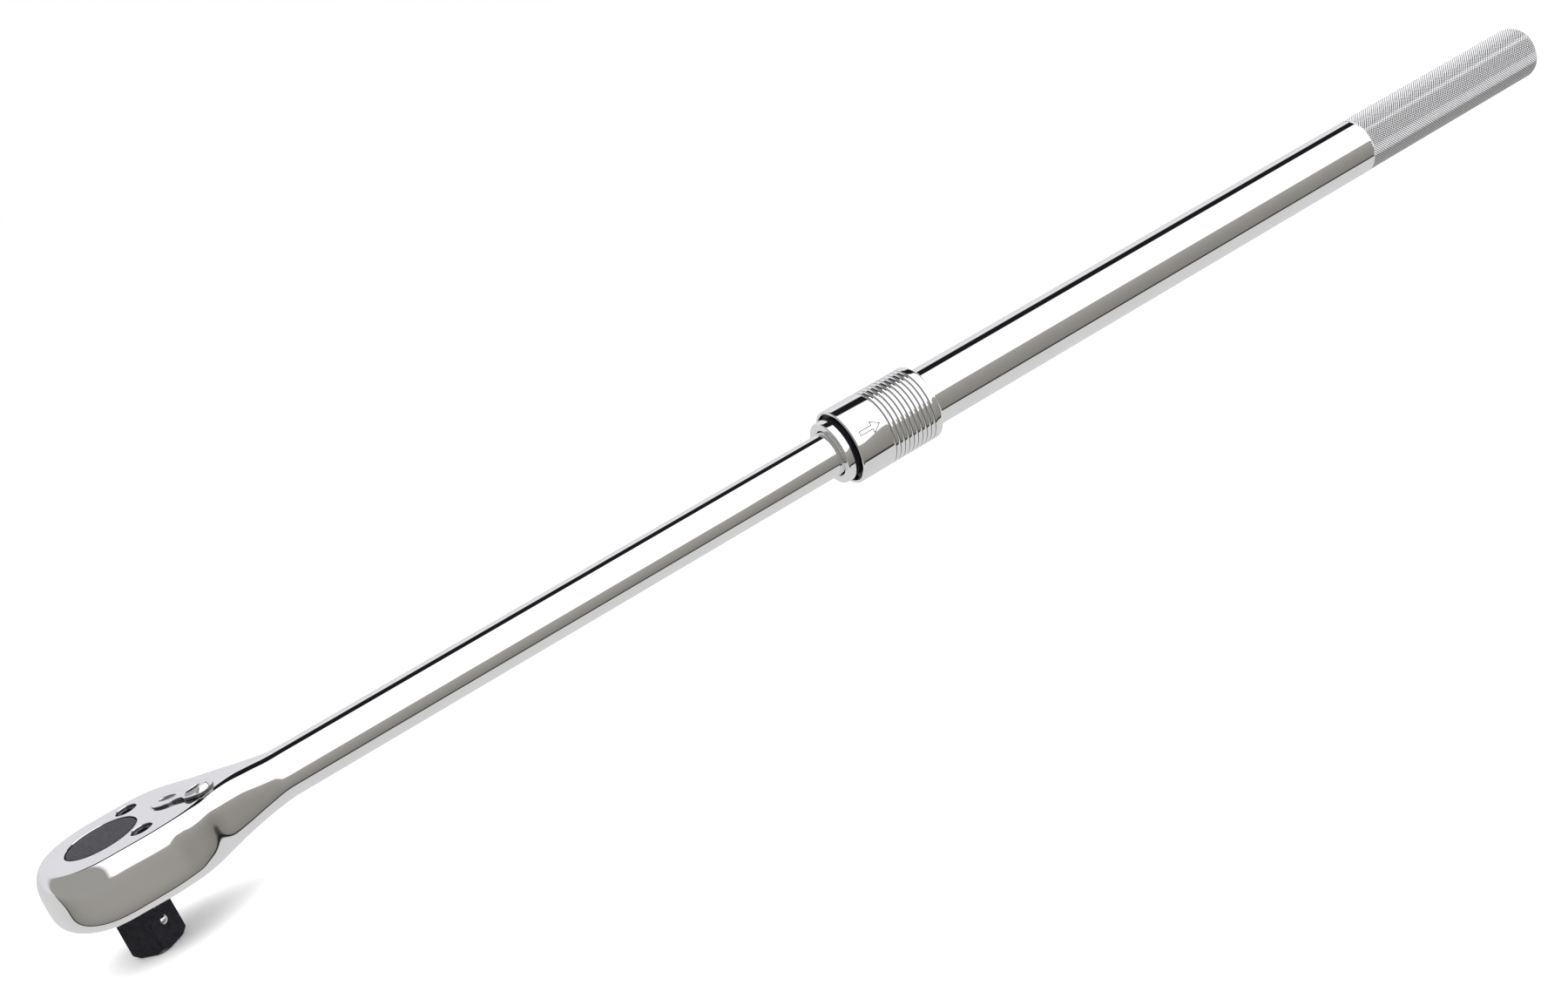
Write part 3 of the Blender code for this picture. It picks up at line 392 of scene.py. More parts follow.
def bump(material, noise, strength, distance):
    node = add(material, "ShaderNodeBump", Strength=strength, Distance=distance)
    link(material, noise, node.inputs["Height"])
    link(material, node.outputs["Normal"], shader_of(material).inputs["Normal"])


def chrome():
    """Mirror plate: faint polishing haze, and a very slight waviness left by the buffing wheel."""
    material = new_material("chrome_plate", (0.86, 0.86, 0.87), 1.0, 0.03)
    vary_roughness(material, noise_fac(material, 900, 4, (0.15, 1, 1)), 0.018, 0.05)
    tint(material, noise_fac(material, 35, 2), (0.85, 0.85, 0.86), (0.88, 0.88, 0.885))
    bump(material, noise_fac(material, 60, 1), 0.04, 0.02 * MM)
    return material


def knurl_chrome():
    """The same plate over the cut diamonds, with painted shade darkening the valleys, and a little
    uneven grime.
    """
    material = new_material("chrome_knurl", (0.66, 0.66, 0.69), 1.0, 0.1)
    vary_roughness(material, noise_fac(material, 700, 3), 0.06, 0.16)
    crest = add(material, "ShaderNodeAttribute", attribute_name=CREST)
    grime = noise_fac(material, 1300, 3)
    # Painted shade: the base colour runs from near black in the valleys to the plate's colour on the
    # tips.
    level = math_node(material.node_tree, "MULTIPLY_ADD", grime, 0.12, crest.outputs["Fac"])
    stops = ((0.05, (0.05, 0.05, 0.055)), (0.62, (0.84, 0.84, 0.86)))
    colour = ramp_node(material.node_tree, level, stops)
    link(material, colour, shader_of(material).inputs["Base Color"])
    return material


def black_oxide_and_shade():
    """Satin black conversion coat: fine mottling, and ground marks showing through. The tube's front end
    and the nose's step also take it, as painted shade.
    """
    material = new_material("black_oxide_steel_and_painted_shade", (0.012, 0.012, 0.015), 0.2, 0.36)
    shader_of(material).inputs["Specular IOR Level"].default_value = 0.12
    tint(material, noise_fac(material, 420, 6), (0.007, 0.007, 0.010), (0.017, 0.016, 0.022))
    vary_roughness(material, noise_fac(material, 1500, 4, (1, 1, 0.2)), 0.30, 0.46)
    bump(material, noise_fac(material, 2600, 3), 0.12, 0.02 * MM)
    return material


def steel(name, colour, low, high):
    """Ground metal with fine marks, its roughness between low and high."""
    material = new_material(name, colour, 1.0, (low + high) / 2)
    vary_roughness(material, noise_fac(material, 1600, 4, (1, 1, 0.1)), low, high)
    darker = tuple(c * 0.86 for c in colour)
    tint(material, noise_fac(material, 300, 3), darker, colour)
    return material


def rubber():
    material = new_material("nitrile_rubber", (0.018, 0.018, 0.018), 0.0, 0.7)
    vary_roughness(material, noise_fac(material, 900, 4), 0.6, 0.82)
    bump(material, noise_fac(material, 3000, 3), 0.2, 0.03 * MM)
    return material


def groove_shade():
    """Painted shade on the floor of the sleeve's grip grooves."""
    material = new_material("painted_groove_shade", (0.30, 0.30, 0.31), 1.0, 0.4)
    vary_roughness(material, noise_fac(material, 2500, 3), 0.32, 0.5)
    return material


def floor_paper():
    material = new_material("floor_paper", (0.9, 0.9, 0.9), 0.0, 0.9)
    tint(material, noise_fac(material, 3, 2), (0.895, 0.895, 0.895), (0.905, 0.905, 0.905))
    return material


CHROME = chrome()
KNURL = knurl_chrome()
BLACK = black_oxide_and_shade()
BRIGHT = steel("bright_steel", (0.66, 0.66, 0.67), 0.14, 0.26)
SPRING = steel("spring_wire", (0.40, 0.40, 0.42), 0.25, 0.38)
BRONZE = steel("turned_bronze", (0.55, 0.38, 0.17), 0.28, 0.42)
RUBBER = rubber()
GROOVE_SHADE = groove_shade()
# Painted shade for the lever's hollows and its steep sides
HOLLOW_SHADE = steel("painted_shade_hollow", (0.42, 0.43, 0.44), 0.12, 0.24)
SIDE_SHADE = steel("painted_shade_side", (0.16, 0.16, 0.17), 0.16, 0.3)


# ---------------------------------------------------------------- mesh helpers
def make(name, bm, surfaces=()):
    """Puts a bmesh into the scene as an object, with its faces turned outwards."""
    bmesh.ops.recalc_face_normals(bm, faces=bm.faces)
    mesh = bpy.data.meshes.new(name)
    bm.to_mesh(mesh)
    bm.free()
    for surface in surfaces:
        mesh.materials.append(surface)
    obj = bpy.data.objects.new(name, mesh)
    bpy.context.scene.collection.objects.link(obj)
    return obj


def smooth(obj, angle=30):
    """Shades smoothly, apart from edges sharper than angle in degrees."""
    obj.data.shade_smooth()
    obj.data.set_sharp_from_angle(angle=math.radians(angle))


def show(name, bm, surfaces, angle=30):
    obj = make(name, bm, surfaces)
    smooth(obj, angle)
    return obj


def combine(obj, tools, operation="DIFFERENCE"):
    """Cuts or joins the tools into obj for good, and removes them."""
    for tool in tools:
        modifier = obj.modifiers.new("combine", "BOOLEAN")
        modifier.operation = operation
        modifier.object = tool
        modifier.solver = "EXACT"
        apply_modifiers(obj)
        bpy.data.objects.remove(tool, do_unlink=True)


def apply_modifiers(obj):
    graph = bpy.context.evaluated_depsgraph_get()
    graph.update()
    mesh = bpy.data.meshes.new_from_object(obj.evaluated_get(graph))
    obj.modifiers.clear()
    obj.data = mesh


def bevel(obj, width, segments, angle):
    """Rounds the edges sharper than angle."""
    modifier = obj.modifiers.new("edges", "BEVEL")
    modifier.width = width
    modifier.segments = segments
    modifier.limit_method = "ANGLE"
    modifier.angle_limit = math.radians(angle)
    modifier.harden_normals = False
    apply_modifiers(obj)


def skin(bm, rings, loop):
    """Faces between rings of vertices; loop joins the last ring to the first."""
    pairs = list(zip(rings, rings[1:]))
    if loop:
        pairs.append((rings[-1], rings[0]))
    for a, b in pairs:
        n = len(a)
        for j in range(n):
            k = (j + 1) % n
            corners = [a[j], a[k], b[k], b[j]]
            unique = [v for i, v in enumerate(corners) if v not in corners[:i]]
            if len(unique) > 2:
                bm.faces.new(unique)


def turned_bmesh(outline, steps, along="X", origin=(0, 0, 0)):
    """A closed turned solid. The outline holds (radius, height) points round its half section."""
    bm = bmesh.new()
    base = Vector(origin)
    rings = []
    for radius, height in outline:
        ring = []
        hub = None
        for j in range(steps):
            angle = 2 * math.pi * j / steps
            a, b = radius * math.cos(angle), radius * math.sin(angle)
            point = Vector((height, a, b) if along == "X" else (a, b, height))
            if radius == 0:
                hub = hub or bm.verts.new(base + point)
                ring.append(hub)
            else:
                ring.append(bm.verts.new(base + point))
        rings.append(ring)
    skin(bm, rings, outline[0][0] > 0)
    return bm


def arc(centre_r, centre_h, radius, start, end, count):
    """Points on an arc; degrees, 0 along the first coordinate, 90 along the second."""
    angles = [math.radians(start + (end - start) * i / count) for i in range(count + 1)]
    return [(centre_r + radius * math.cos(a), centre_h + radius * math.sin(a)) for a in angles]


def drill(name, radius, low, high, spot=(0, 0), steps=96, flared_at=None):
    """A cylinder along Z to cut with, which chamfers the hole's edge at the height flared_at."""
    outline = [(0, low), (radius, low)]
    if flared_at is not None:
        wide = radius + 2 * HOLE_FLARE
        outline += [(radius, flared_at - HOLE_FLARE), (wide, flared_at + HOLE_FLARE), (wide, high)]
    else:
        outline += [(radius, high)]
    outline += [(0, high)]
    return make(name, turned_bmesh(outline, steps, "Z", (spot[0], spot[1], AXIS_Z)))


def slab_bmesh(outline, low, high, origin=(0, 0, 0)):
    """A flat slab of any outline, from low to high above the origin."""
    bm = bmesh.new()
    base = Vector(origin)
    face = bm.faces.new([bm.verts.new(base + Vector((x, y, low))) for x, y in outline])
    raised = bmesh.ops.extrude_face_region(bm, geom=[face])
    tops = [v for v in raised["geom"] if isinstance(v, bmesh.types.BMVert)]
    bmesh.ops.translate(bm, verts=tops, vec=(0, 0, high - low))
    return bm


def ellipsoid(name, half_sizes, spot):
    bm = bmesh.new()
    bmesh.ops.create_uvsphere(bm, u_segments=64, v_segments=32, radius=1.0)
    bmesh.ops.scale(bm, verts=bm.verts, vec=half_sizes)
    bmesh.ops.translate(bm, verts=bm.verts, vec=spot)
    return make(name, bm)


def rectangle(low, high, half):
    """Outline from low to high along X, and half to each side of the axis."""
    return [(low, -half), (high, -half), (high, half), (low, half)]


def hull_of_circles(circles, count=160):
    """Outline stretched round circles, each an (x, y, radius)."""
    points = []
    for i in range(count):
        angle = 2 * math.pi * i / count
        out = Vector((math.cos(angle), math.sin(angle)))
        x, y, radius = max(circles, key=lambda c: c[0] * out.x + c[1] * out.y + c[2])
        points.append((x + radius * out.x, y + radius * out.y))
    return points


def stand_for(obj, node):
    """obj replaces a CAD node and rides on its body."""
    body = next(b for b, members in frame["record"]["behaviour"]["bodies"].items() if node in members)
    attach(obj, body)
    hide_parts(node)


# ---------------------------------------------------------------- head, neck and inner bar
def station_values(x):
    """Cubic blend between the stations' rows, flat at both ends."""
    rows = HEAD_STATIONS
    last = len(rows) - 1
    k = next((i for i in range(last) if x <= rows[i + 1][0]), last - 1)
    x0, x1 = rows[k][0], rows[k + 1][0]
    t = min(max((x - x0) / (x1 - x0), 0), 1)

    def slope(i, column):
        if i in (0, last):
            return 0.0
        before = (rows[i][column] - rows[i - 1][column]) / (rows[i][0] - rows[i - 1][0])
        after = (rows[i + 1][column] - rows[i][column]) / (rows[i + 1][0] - rows[i][0])
        return 0.0 if before * after <= 0 else 2 * before * after / (before + after)

    values = []
    for column in range(1, len(rows[0])):
        a, b = rows[k][column], rows[k + 1][column]
        ma, mb = slope(k, column) * (x1 - x0), slope(k + 1, column) * (x1 - x0)
        values.append(
            (2 * t**3 - 3 * t**2 + 1) * a
            + (t**3 - 2 * t**2 + t) * ma
            + (-2 * t**3 + 3 * t**2) * b
            + (t**3 - t**2) * mb
        )
    return values


def smooth_values(x):
    """The stations' values averaged over a short stretch, so that reflections run without kinks."""
    reach = min(BLEND_REACH, max(NECK_END - x, 0.0))
    total = [0.0] * 5
    weight = 0.0
    for i in range(-BLEND_SAMPLES, BLEND_SAMPLES + 1):
        share = math.cos(math.pi / 2 * i / (BLEND_SAMPLES + 1)) ** 2
        for c, value in enumerate(station_values(x + reach * i / BLEND_SAMPLES)):
            total[c] += share * value
        weight += share
    return [value / weight for value in total]


def section(foot, direction, reach, top, bottom, power, flat):
    """Half of a section: flat top, softened edge, rounded side and underside."""
    edge = EDGE * min(1.0, flat * 4)  # fades out where the flat does
    level = top / (1 - flat**power) ** (1 / power)
    brink = math.atan2(top / level, flat) if flat > 0 else math.pi / 2
    inner = max(flat * reach - edge, 0.0)
    points = [(inner * i / FLAT_POINTS, top) for i in range(FLAT_POINTS)]
    points.append((inner if flat > 0 else reach * NO_FLAT, top))
    start = brink - (edge / reach) / max(math.sin(brink), 0.2) if flat > 0 else brink
    for i in range(UPPER_POINTS):
        angle = start * (1 - i / UPPER_POINTS)
        c, s = math.cos(angle), math.sin(angle)
        scale = (abs(c) ** power + abs(s) ** power) ** (-1 / power)
        points.append((reach * c * scale, min(level * s * scale, top)))
    for i in range(LOWER_POINTS + 1):
        angle = math.pi / 2 * i / LOWER_POINTS
        c, s = math.cos(angle) if i < LOWER_POINTS else 0.0, math.sin(angle)
        scale = (c**power + s**power) ** (-1 / power)
        points.append((reach * c * scale, -bottom * s * scale))
    return [(foot + direction[0] * y, direction[1] * y, AXIS_Z + z) for y, z in points]


def bar_section(x, radius):
    """Half of a round section with the same number of points as the head's."""
    return section(x, (0, 1), radius, radius, radius, 2.0, 0.0)


def mirrored(points):
    return [(x, -y, z) for x, y, z in points]


def head_shape():
    """Half sections all round: down the far side, round the head's front, and back up the other."""
    steps = [
        (BAR_END_X, SPIGOT_R - SPIGOT_CHAMFER),
        (BAR_END_X - SPIGOT_CHAMFER, SPIGOT_R),
        (SPIGOT_GROOVE[1], SPIGOT_R),
        (SPIGOT_GROOVE[1], SPIGOT_GROOVE_R),
        (SPIGOT_GROOVE[0], SPIGOT_GROOVE_R),
        (SPIGOT_GROOVE[0], SPIGOT_R),
        (BAR_SHOULDER_X, SPIGOT_R),
        (BAR_SHOULDER_X, BAR_R - SHOULDER_CHAMFER),
        (BAR_SHOULDER_X - SHOULDER_CHAMFER, BAR_R),
    ]
    steps += [(x, BAR_R) for x in BAR_MIDWAY]
    side = [bar_section(x, radius) for x, radius in steps]
    stations = [NECK_END - STATION_STEP * i for i in range(int(NECK_END / STATION_STEP) + 1)]
    for x in stations + [0]:
        width, top, bottom, power, flat = smooth_values(x)
        flat = max(flat, 0.0) if x < NECK_END - 1 else 0.0
        side.append(section(x * MM, (0, 1), width * MM, top * MM, bottom * MM, power, flat))
    front = []
    width, top, bottom, power, flat = smooth_values(0)
    for i in range(1, FRONT_SECTIONS):
        angle = math.pi * i / FRONT_SECTIONS
        across, ahead = math.cos(angle), math.sin(angle)
        parts = (ahead / HEAD_FRONT_R, abs(across) / (width * MM))
        reach = sum(part**PLAN_POWER for part in parts) ** (-1 / PLAN_POWER)
        softer = power - FRONT_SOFTENING * ahead**2
        narrower = flat - FRONT_FLAT_LOSS * ahead**2
        front.append(section(0, (-ahead, across), reach, top * MM, bottom * MM, softer, narrower))
    return side + front + [mirrored(points) for points in side[::-1]]


def head_cutters():
    pivot = (PIVOT.x, 0)
    pawl_room = arc(0, 0, PAWL_ROOM_R, -PAWL_ROOM_HALF, PAWL_ROOM_HALF, 24)
    pawl_room += arc(0, 0, PAWL_ROOM_INNER_R, PAWL_ROOM_HALF, -PAWL_ROOM_HALF, 12)
    plunger_room = rectangle(PAWL_ROOM_R - 2 * MM, PIVOT.x, PLUNGER_ROOM_HALF)
    height = PLUNGER_ROOM_HALF_HEIGHT
    cut = [
        drill("chamber", CHAMBER_R, -BEYOND, CHAMBER_ROOF),
        drill("disc_hole", DISC_R + GAP, 0, BEYOND, (0, 0), DISC_ROUND, HEAD_TOP),
        make("cover_seat", slab_bmesh(cover_outline(GAP), -BEYOND, COVER_SEAT, ON_AXIS)),
        make("pawl_room", slab_bmesh(pawl_room, -BEYOND, PAWL_ROOM_ROOF, ON_AXIS)),
        make("plunger_room", slab_bmesh(plunger_room, -height, height, ON_AXIS)),
        drill("lever_bore", LEVER_BORE_R, -BEYOND, BEYOND, pivot),
        drill("lever_seat", LEVER_SEAT_R, LEVER_BASE - GAP, BEYOND, pivot),
        drill("clip_room", CLIP_ROOM_R, -BEYOND, CLIP_ROOM_ROOF, pivot),
    ]
    for name, spot in SCREWS.items():
        low = SCREW_TOP - SCREW_HEAD - GAP
        cut.append(drill(f"shank_{name}", SHANK_R + GAP, -BEYOND, BEYOND, spot))
        cut.append(drill(f"bore_{name}", SCREW_ROOM_R, low, BEYOND, spot, flared_at=HEAD_TOP))
    first = LOCK_X - POCKETS_IN * LOCK_PITCH - KEYWAY_PAST
    last = LOCK_X + POCKETS_OUT * LOCK_PITCH + KEYWAY_PAST
    way = rectangle(first, last, KEYWAY_HALF)
    cut.append(make("keyway", slab_bmesh(way, -BEYOND, -KEYWAY_FLOOR_R, ON_AXIS)))
    for k in range(-POCKETS_IN, POCKETS_OUT + 1):
        spot = (LOCK_X + k * LOCK_PITCH, 0)
        cut.append(drill(f"pocket_{k}", POCKET_R, -BEYOND, -POCKET_FLOOR_R, spot, 32))
    return cut


def head():
    bm = bmesh.new()
    grid = [[bm.verts.new(p) for p in column] for column in head_shape()]
    for left, right in zip(grid, grid[1:]):
        for j in range(len(left) - 1):
            bm.faces.new((left[j], left[j + 1], right[j + 1], right[j]))
    bmesh.ops.remove_doubles(bm, verts=bm.verts, dist=MERGE)
    bmesh.ops.dissolve_degenerate(bm, dist=MERGE / 10, edges=bm.edges)
    bmesh.ops.holes_fill(bm, edges=[e for e in bm.edges if e.is_boundary], sides=0)
    forging = show("forged_head", bm, [CHROME], HEAD_CREASE)
    combine(forging, head_cutters())
    smooth(forging, HEAD_CREASE)
    stand_for(forging, "head_forging")


def cover_outline(extra=0.0):
    circles = [(0, 0, COVER_R + extra), (PIVOT.x, 0, COVER_TAIL_R + extra)]
    circles += [(spot.x, spot.y, COVER_EAR_R + extra) for spot in SCREWS.values()]
    return hull_of_circles(circles)


def cover():
    low, high = COVER_LOW.z - AXIS_Z, COVER_HIGH.z - AXIS_Z
    plate = show("drive_side_cover", slab_bmesh(cover_outline(), low, high, ON_AXIS), [BLACK])
    bevel(plate, COVER_EDGE, 2, 60)
    tools = [drill("cover_drive", BOSS_R + GAP, -BEYOND, BEYOND, (0, 0), 128)]
    for name, spot in SCREWS.items():
        tools.append(drill(f"cover_{name}", SHANK_R + GAP, -BEYOND, BEYOND, spot, 48))
    combine(plate, tools)
    smooth(plate)
    stand_for(plate, "cover_plate")


def screws():
    neck = SCREW_TOP - SCREW_HEAD
    tip = COVER_LOW.z - AXIS_Z + SCREW_SHORT
    outline = [(0, SCREW_TOP)]
    outline += arc(SCREW_R - SCREW_EDGE, SCREW_TOP - SCREW_EDGE, SCREW_EDGE, 90, 0, 6)
    outline += [(SCREW_R, neck), (SHANK_R, neck), (SHANK_R, tip + SCREW_TIP)]
    outline += [(SHANK_R - SCREW_TIP, tip), (0, tip)]
    floor = SCREW_TOP - KEY_DEPTH
    key = [(0, floor), (KEY_R, floor), (KEY_R, BEYOND), (0, BEYOND)]
    for name, spot in SCREWS.items():
        origin = (spot.x, spot.y, AXIS_Z)
        screw = show(f"socket_screw_{name}", turned_bmesh(outline, 72, "Z", origin), [BLACK])
        combine(screw, [make("key", turned_bmesh(key, 6, "Z", origin))])
        smooth(screw)
        stand_for(screw, f"cover_screw_{name}")


# ---------------------------------------------------------------- drive
def to_axis(outline):
    """Closes a turned outline with a point on the axis at each end."""
    return [(0, outline[0][1])] + outline + [(0, outline[-1][1])]


def drive():
    """Gear, flush disc, boss and drive square in one black piece."""
    ring = []
    for i in range(TEETH):
        for share, radius in TOOTH:
            angle = 2 * math.pi * (i + share) / TEETH
            ring.append((radius * math.cos(angle), radius * math.sin(angle)))
    gear = show("ratchet_gear", slab_bmesh(ring, -GEAR_HALF, GEAR_HALF, ON_AXIS), [BLACK])
    disc = [(0, DISC_TOP), (DISC_R - 3 * DISC_RIM, DISC_TOP)]
    disc += arc(DISC_R - DISC_RIM, DISC_TOP - DISC_RIM, DISC_RIM, 88, 0, 8)
    disc += [(DISC_R, 0), (0, 0)]
    boss = [(0, BOSS_TOP), (BOSS_R, BOSS_TOP), (BOSS_R, BOSS_BOTTOM + BOSS_EDGE)]
    boss += [(BOSS_R - BOSS_EDGE, BOSS_BOTTOM), (0, BOSS_BOTTOM)]
    turned_end = to_axis([(radius, height - AXIS_Z) for radius, height in SQUARE_END])
    bore = turned_bmesh(to_axis(list(BALL_BORE)), 64)
    bmesh.ops.transform(bore, matrix=Matrix.Rotation(BALL_HEADING, 4, "Z"), verts=bore.verts)
    bmesh.ops.translate(bore, verts=bore.verts, vec=(0, 0, BALL_CENTRE.z))
    square = show("square", square_bmesh(), [BLACK])
    turned = {"end": turned_end, "disc": disc, "boss": boss}
    tools = {
        name: make(name, turned_bmesh(outline, DISC_ROUND, "Z", ON_AXIS))
        for name, outline in turned.items()
    }
    combine(square, [tools["end"]], "INTERSECT")
    combine(gear, [tools["disc"], tools["boss"], square], "UNION")
    combine(gear, [make("bore", bore)])
    smooth(gear)
    stand_for(gear, "drive_gear")


def square_bmesh():
    """Square bar with its four long edges slightly rounded."""
    inner = SQUARE / 2 - SQUARE_EDGE
    outline = []
    for quarter in range(4):
        turn = Matrix.Rotation(SQUARE_TURN + math.pi / 4 + quarter * math.pi / 2, 2)
        for x, y in arc(inner, inner, SQUARE_EDGE, 0, 90, 5):
            outline.append(tuple(turn @ Vector((x, y))))
    return slab_bmesh(outline, 0, AXIS_Z - 2 * MM)


def ball(name, node, radius):
    bm = bmesh.new()
    bmesh.ops.create_uvsphere(bm, u_segments=64, v_segments=32, radius=radius)
    bmesh.ops.translate(bm, verts=bm.verts, vec=centre(node))
    stand_for(show(name, bm, [BRIGHT], 60), node)


# ---------------------------------------------------------------- reversing lever
def both_sides(side):
    """An outline in metres from one side's points in millimetres, given from root to tip."""
    near = [(x * MM, y * MM) for x, y in side]
    return near + [(x, -y) for x, y in near[::-1]]


def lever_tab():
    """Thumb tab at the lever's tip, narrower at its top."""
    bm = slab_bmesh(both_sides(TAB_SIDE), LEVER_TOP - TAB_ROOT, LEVER_TOP + TAB_RISE)
    for vert in bm.verts:
        if vert.co.z > LEVER_TOP:
            vert.co.x = TAB_MIDDLE + (vert.co.x - TAB_MIDDLE) * TAB_TAPER_X
            vert.co.y *= TAB_TAPER_Y
    tab = show("tab", bm, [CHROME])
    bevel(tab, TAB_EDGE, 4, 30)
    return tab


def lever_shaft():
    """Shaft with grooves for the seal and the clip, as (radius, height) points from the top down."""
    levels = [LEVER_BASE + SHAFT_OVERLAP, *SEAL_GROOVE[::-1], *CLIP_GROOVE[::-1], SHAFT_END]
    radii = [SHAFT_R, SEAL_GROOVE_R, SHAFT_R, CLIP_GROOVE_R, SHAFT_R]
    profile = [(0, levels[0])]
    for radius, high, low in zip(radii, levels, levels[1:]):
        profile += [(radius, high), (radius, low)]
    profile.append((0, SHAFT_END))
    return make("shaft", turned_bmesh(profile, 72, "Z"))


def lever():
    hub = arc(0, 0, LEVER_HUB_R, LEVER_HUB_START, 360 - LEVER_HUB_START, 60)
    shape = slab_bmesh(hub + both_sides(LEVER_SIDE), LEVER_BASE, LEVER_TOP)
    arm = show("lever_arm", shape, [CHROME])
    bevel(arm, LEVER_EDGE, 4, 50)
    combine(arm, [lever_shaft(), lever_tab()], "UNION")
    low, high = PLUNGER_BORE
    bore = [(0, low), (PLUNGER_BORE_R, low), (PLUNGER_BORE_R, high), (0, high)]
    hollows = [ellipsoid("dimple", DIMPLE_SIZE, DIMPLE_SPOT), ellipsoid("thumb", THUMB_SIZE, THUMB_SPOT)]
    combine(arm, hollows + [make("bore", turned_bmesh(bore, 48))])
    smooth(arm, 32)
    arm.data.materials.clear()
    for surface in (CHROME, HOLLOW_SHADE, SIDE_SHADE):
        arm.data.materials.append(surface)
    # Painted shade: the hollows get a duller, darker plate than the flat top, and steep faces the
    # darkest.
    for face in arm.data.polygons:
        upright = abs(face.normal.z)
        if face.center.z < LEVER_TOP - 0.12 * MM or upright < 0.35:
            face.material_index = 2 if upright < 0.6 else 1
    place = Matrix.Translation((PIVOT.x, 0, AXIS_Z))
    arm.data.transform(place @ Matrix.Rotation(LEVER_TURN, 4, "Z"))
    stand_for(arm, "reverse_lever")


# ---------------------------------------------------------------- tube, nose and sleeve
def end_round(angle):
    """(x, radius) on the tube's rounded end, from its start at 0 to the end face at a right angle."""
    x = TUBE_HIGH.x - TUBE_ROUND + TUBE_ROUND * math.sin(angle)
    return x, TUBE_R - TUBE_ROUND + TUBE_ROUND * math.cos(angle)


def knurl_rows():
    """Rings of the grip: (x, radius) of the crests, and the step from them down into the valleys."""
    straight = TUBE_HIGH.x - TUBE_ROUND - KNURL_START
    curved = TUBE_ROUND * KNURL_BEND
    count = int(2 * (straight + curved) / KNURL_PITCH)
    rows = []
    for i in range(count + 1):
        along = i * KNURL_PITCH / 2
        depth = KNURL_DEPTH * min(1, i / 2, (count - i) / 2)
        if along <= straight:
            rows.append((KNURL_START + along, TUBE_R, 0, -depth))
        else:
            angle = (along - straight) / TUBE_ROUND
            rows.append((*end_round(angle), -depth * math.sin(angle), -depth * math.cos(angle)))
    return rows


def tube_ring(bm, x, radius, step_x=0.0, step_r=0.0, row=0):
    """A ring of vertices, every second one moved by the step; row shifts which ones."""
    verts = []
    for j in range(ROUND):
        angle = 2 * math.pi * j / ROUND
        down = (row + j) % 2 == 0
        r = radius + (step_r if down else 0)
        place = (x + (step_x if down else 0), r * math.cos(angle), AXIS_Z + r * math.sin(angle))
        verts.append(bm.verts.new(place))
    return verts


def tube():
    """Smooth tube with ring grooves, diamond knurled grip, rounded end and stepped bore."""
    outside = [(TUBE_LOW.x, TUBE_R - TUBE_CHAMFER), (TUBE_LOW.x + TUBE_CHAMFER, TUBE_R)]
    for low, high in ((RING_LOW.x, RING_HIGH.x), (STOP_LOW.x, STOP_HIGH.x)):
        outside += [(low - RING_SLACK, TUBE_R), (low - RING_SLACK, RING_GROOVE_R)]
        outside += [(high + RING_SLACK, RING_GROOVE_R), (high + RING_SLACK, TUBE_R)]
    outside.append((KNURL_START - KNURL_LEAD, TUBE_R))
    rest = math.pi / 2 - KNURL_BEND
    finish = [end_round(KNURL_BEND + rest * i / FINISH_STEPS) for i in range(1, FINISH_STEPS + 1)]
    end_x = TUBE_HIGH.x
    inside = [
        (end_x, PLUG_BORE_R + TUBE_CHAMFER),
        (end_x - TUBE_CHAMFER, PLUG_BORE_R),
        (end_x - END_WALL, PLUG_BORE_R),
        (end_x - END_WALL, TUBE_BORE_R),
        (TUBE_LOW.x, TUBE_BORE_R),
    ]
    bm = bmesh.new()
    smooth_rings = [tube_ring(bm, x, r) for x, r in outside]
    knurl_rings = [tube_ring(bm, *values, i) for i, values in enumerate(knurl_rows())]
    end_rings = [tube_ring(bm, x, r) for x, r in finish + inside]
    skin(bm, smooth_rings + [knurl_rings[0]], False)
    skin(bm, [knurl_rings[-1]] + end_rings + [smooth_rings[0]], False)
    for i, (a, b) in enumerate(zip(knurl_rings, knurl_rings[1:])):
        for j in range(ROUND):
            k = (j + 1) % ROUND
            if (i + j) % 2 == 0:
                faces = ((a[j], b[k], b[j]), (a[j], a[k], b[k]))
            else:
                faces = ((a[j], a[k], b[j]), (a[k], b[k], b[j]))
            for face in faces:
                bm.faces.new(face).material_index = 1
    body = show("handle_tube", bm, [CHROME, KNURL], 25)
    combine(body, [drill("window", LOCK_WINDOW_R, -25 * MM, -5 * MM, (LOCK_X, 0), 48)])
    smooth(body, 25)
    # The black oxide slot is painted shade on the tube's front end.
    body.data.materials.append(BLACK)
    for face in body.data.polygons:
        face.use_smooth = face.material_index == 0
        if face.center.x < RING_HIGH.x:
            face.material_index = 2  # painted shade: the front end takes the black oxide, for the dark inside the sleeve's mouth
    mark_crests(body.data)
    stand_for(body, "outer_tube")


def mark_crests(mesh):
    """Stores how near each point is to a diamond's tip, for the painted shade in the knurl's valleys."""
    marks = mesh.attributes.new(CREST, "FLOAT", "POINT")
    bend_x, bend_r = TUBE_HIGH.x - TUBE_ROUND, TUBE_R - TUBE_ROUND
    for vert, mark in zip(mesh.vertices, marks.data):
        radius = math.hypot(vert.co.y, vert.co.z - AXIS_Z)
        if vert.co.x > bend_x:
            below = TUBE_ROUND - math.hypot(vert.co.x - bend_x, radius - bend_r)
        else:
            below = TUBE_R - radius
        mark.value = min(max(1 - below / KNURL_DEPTH, 0.0), 1.0)


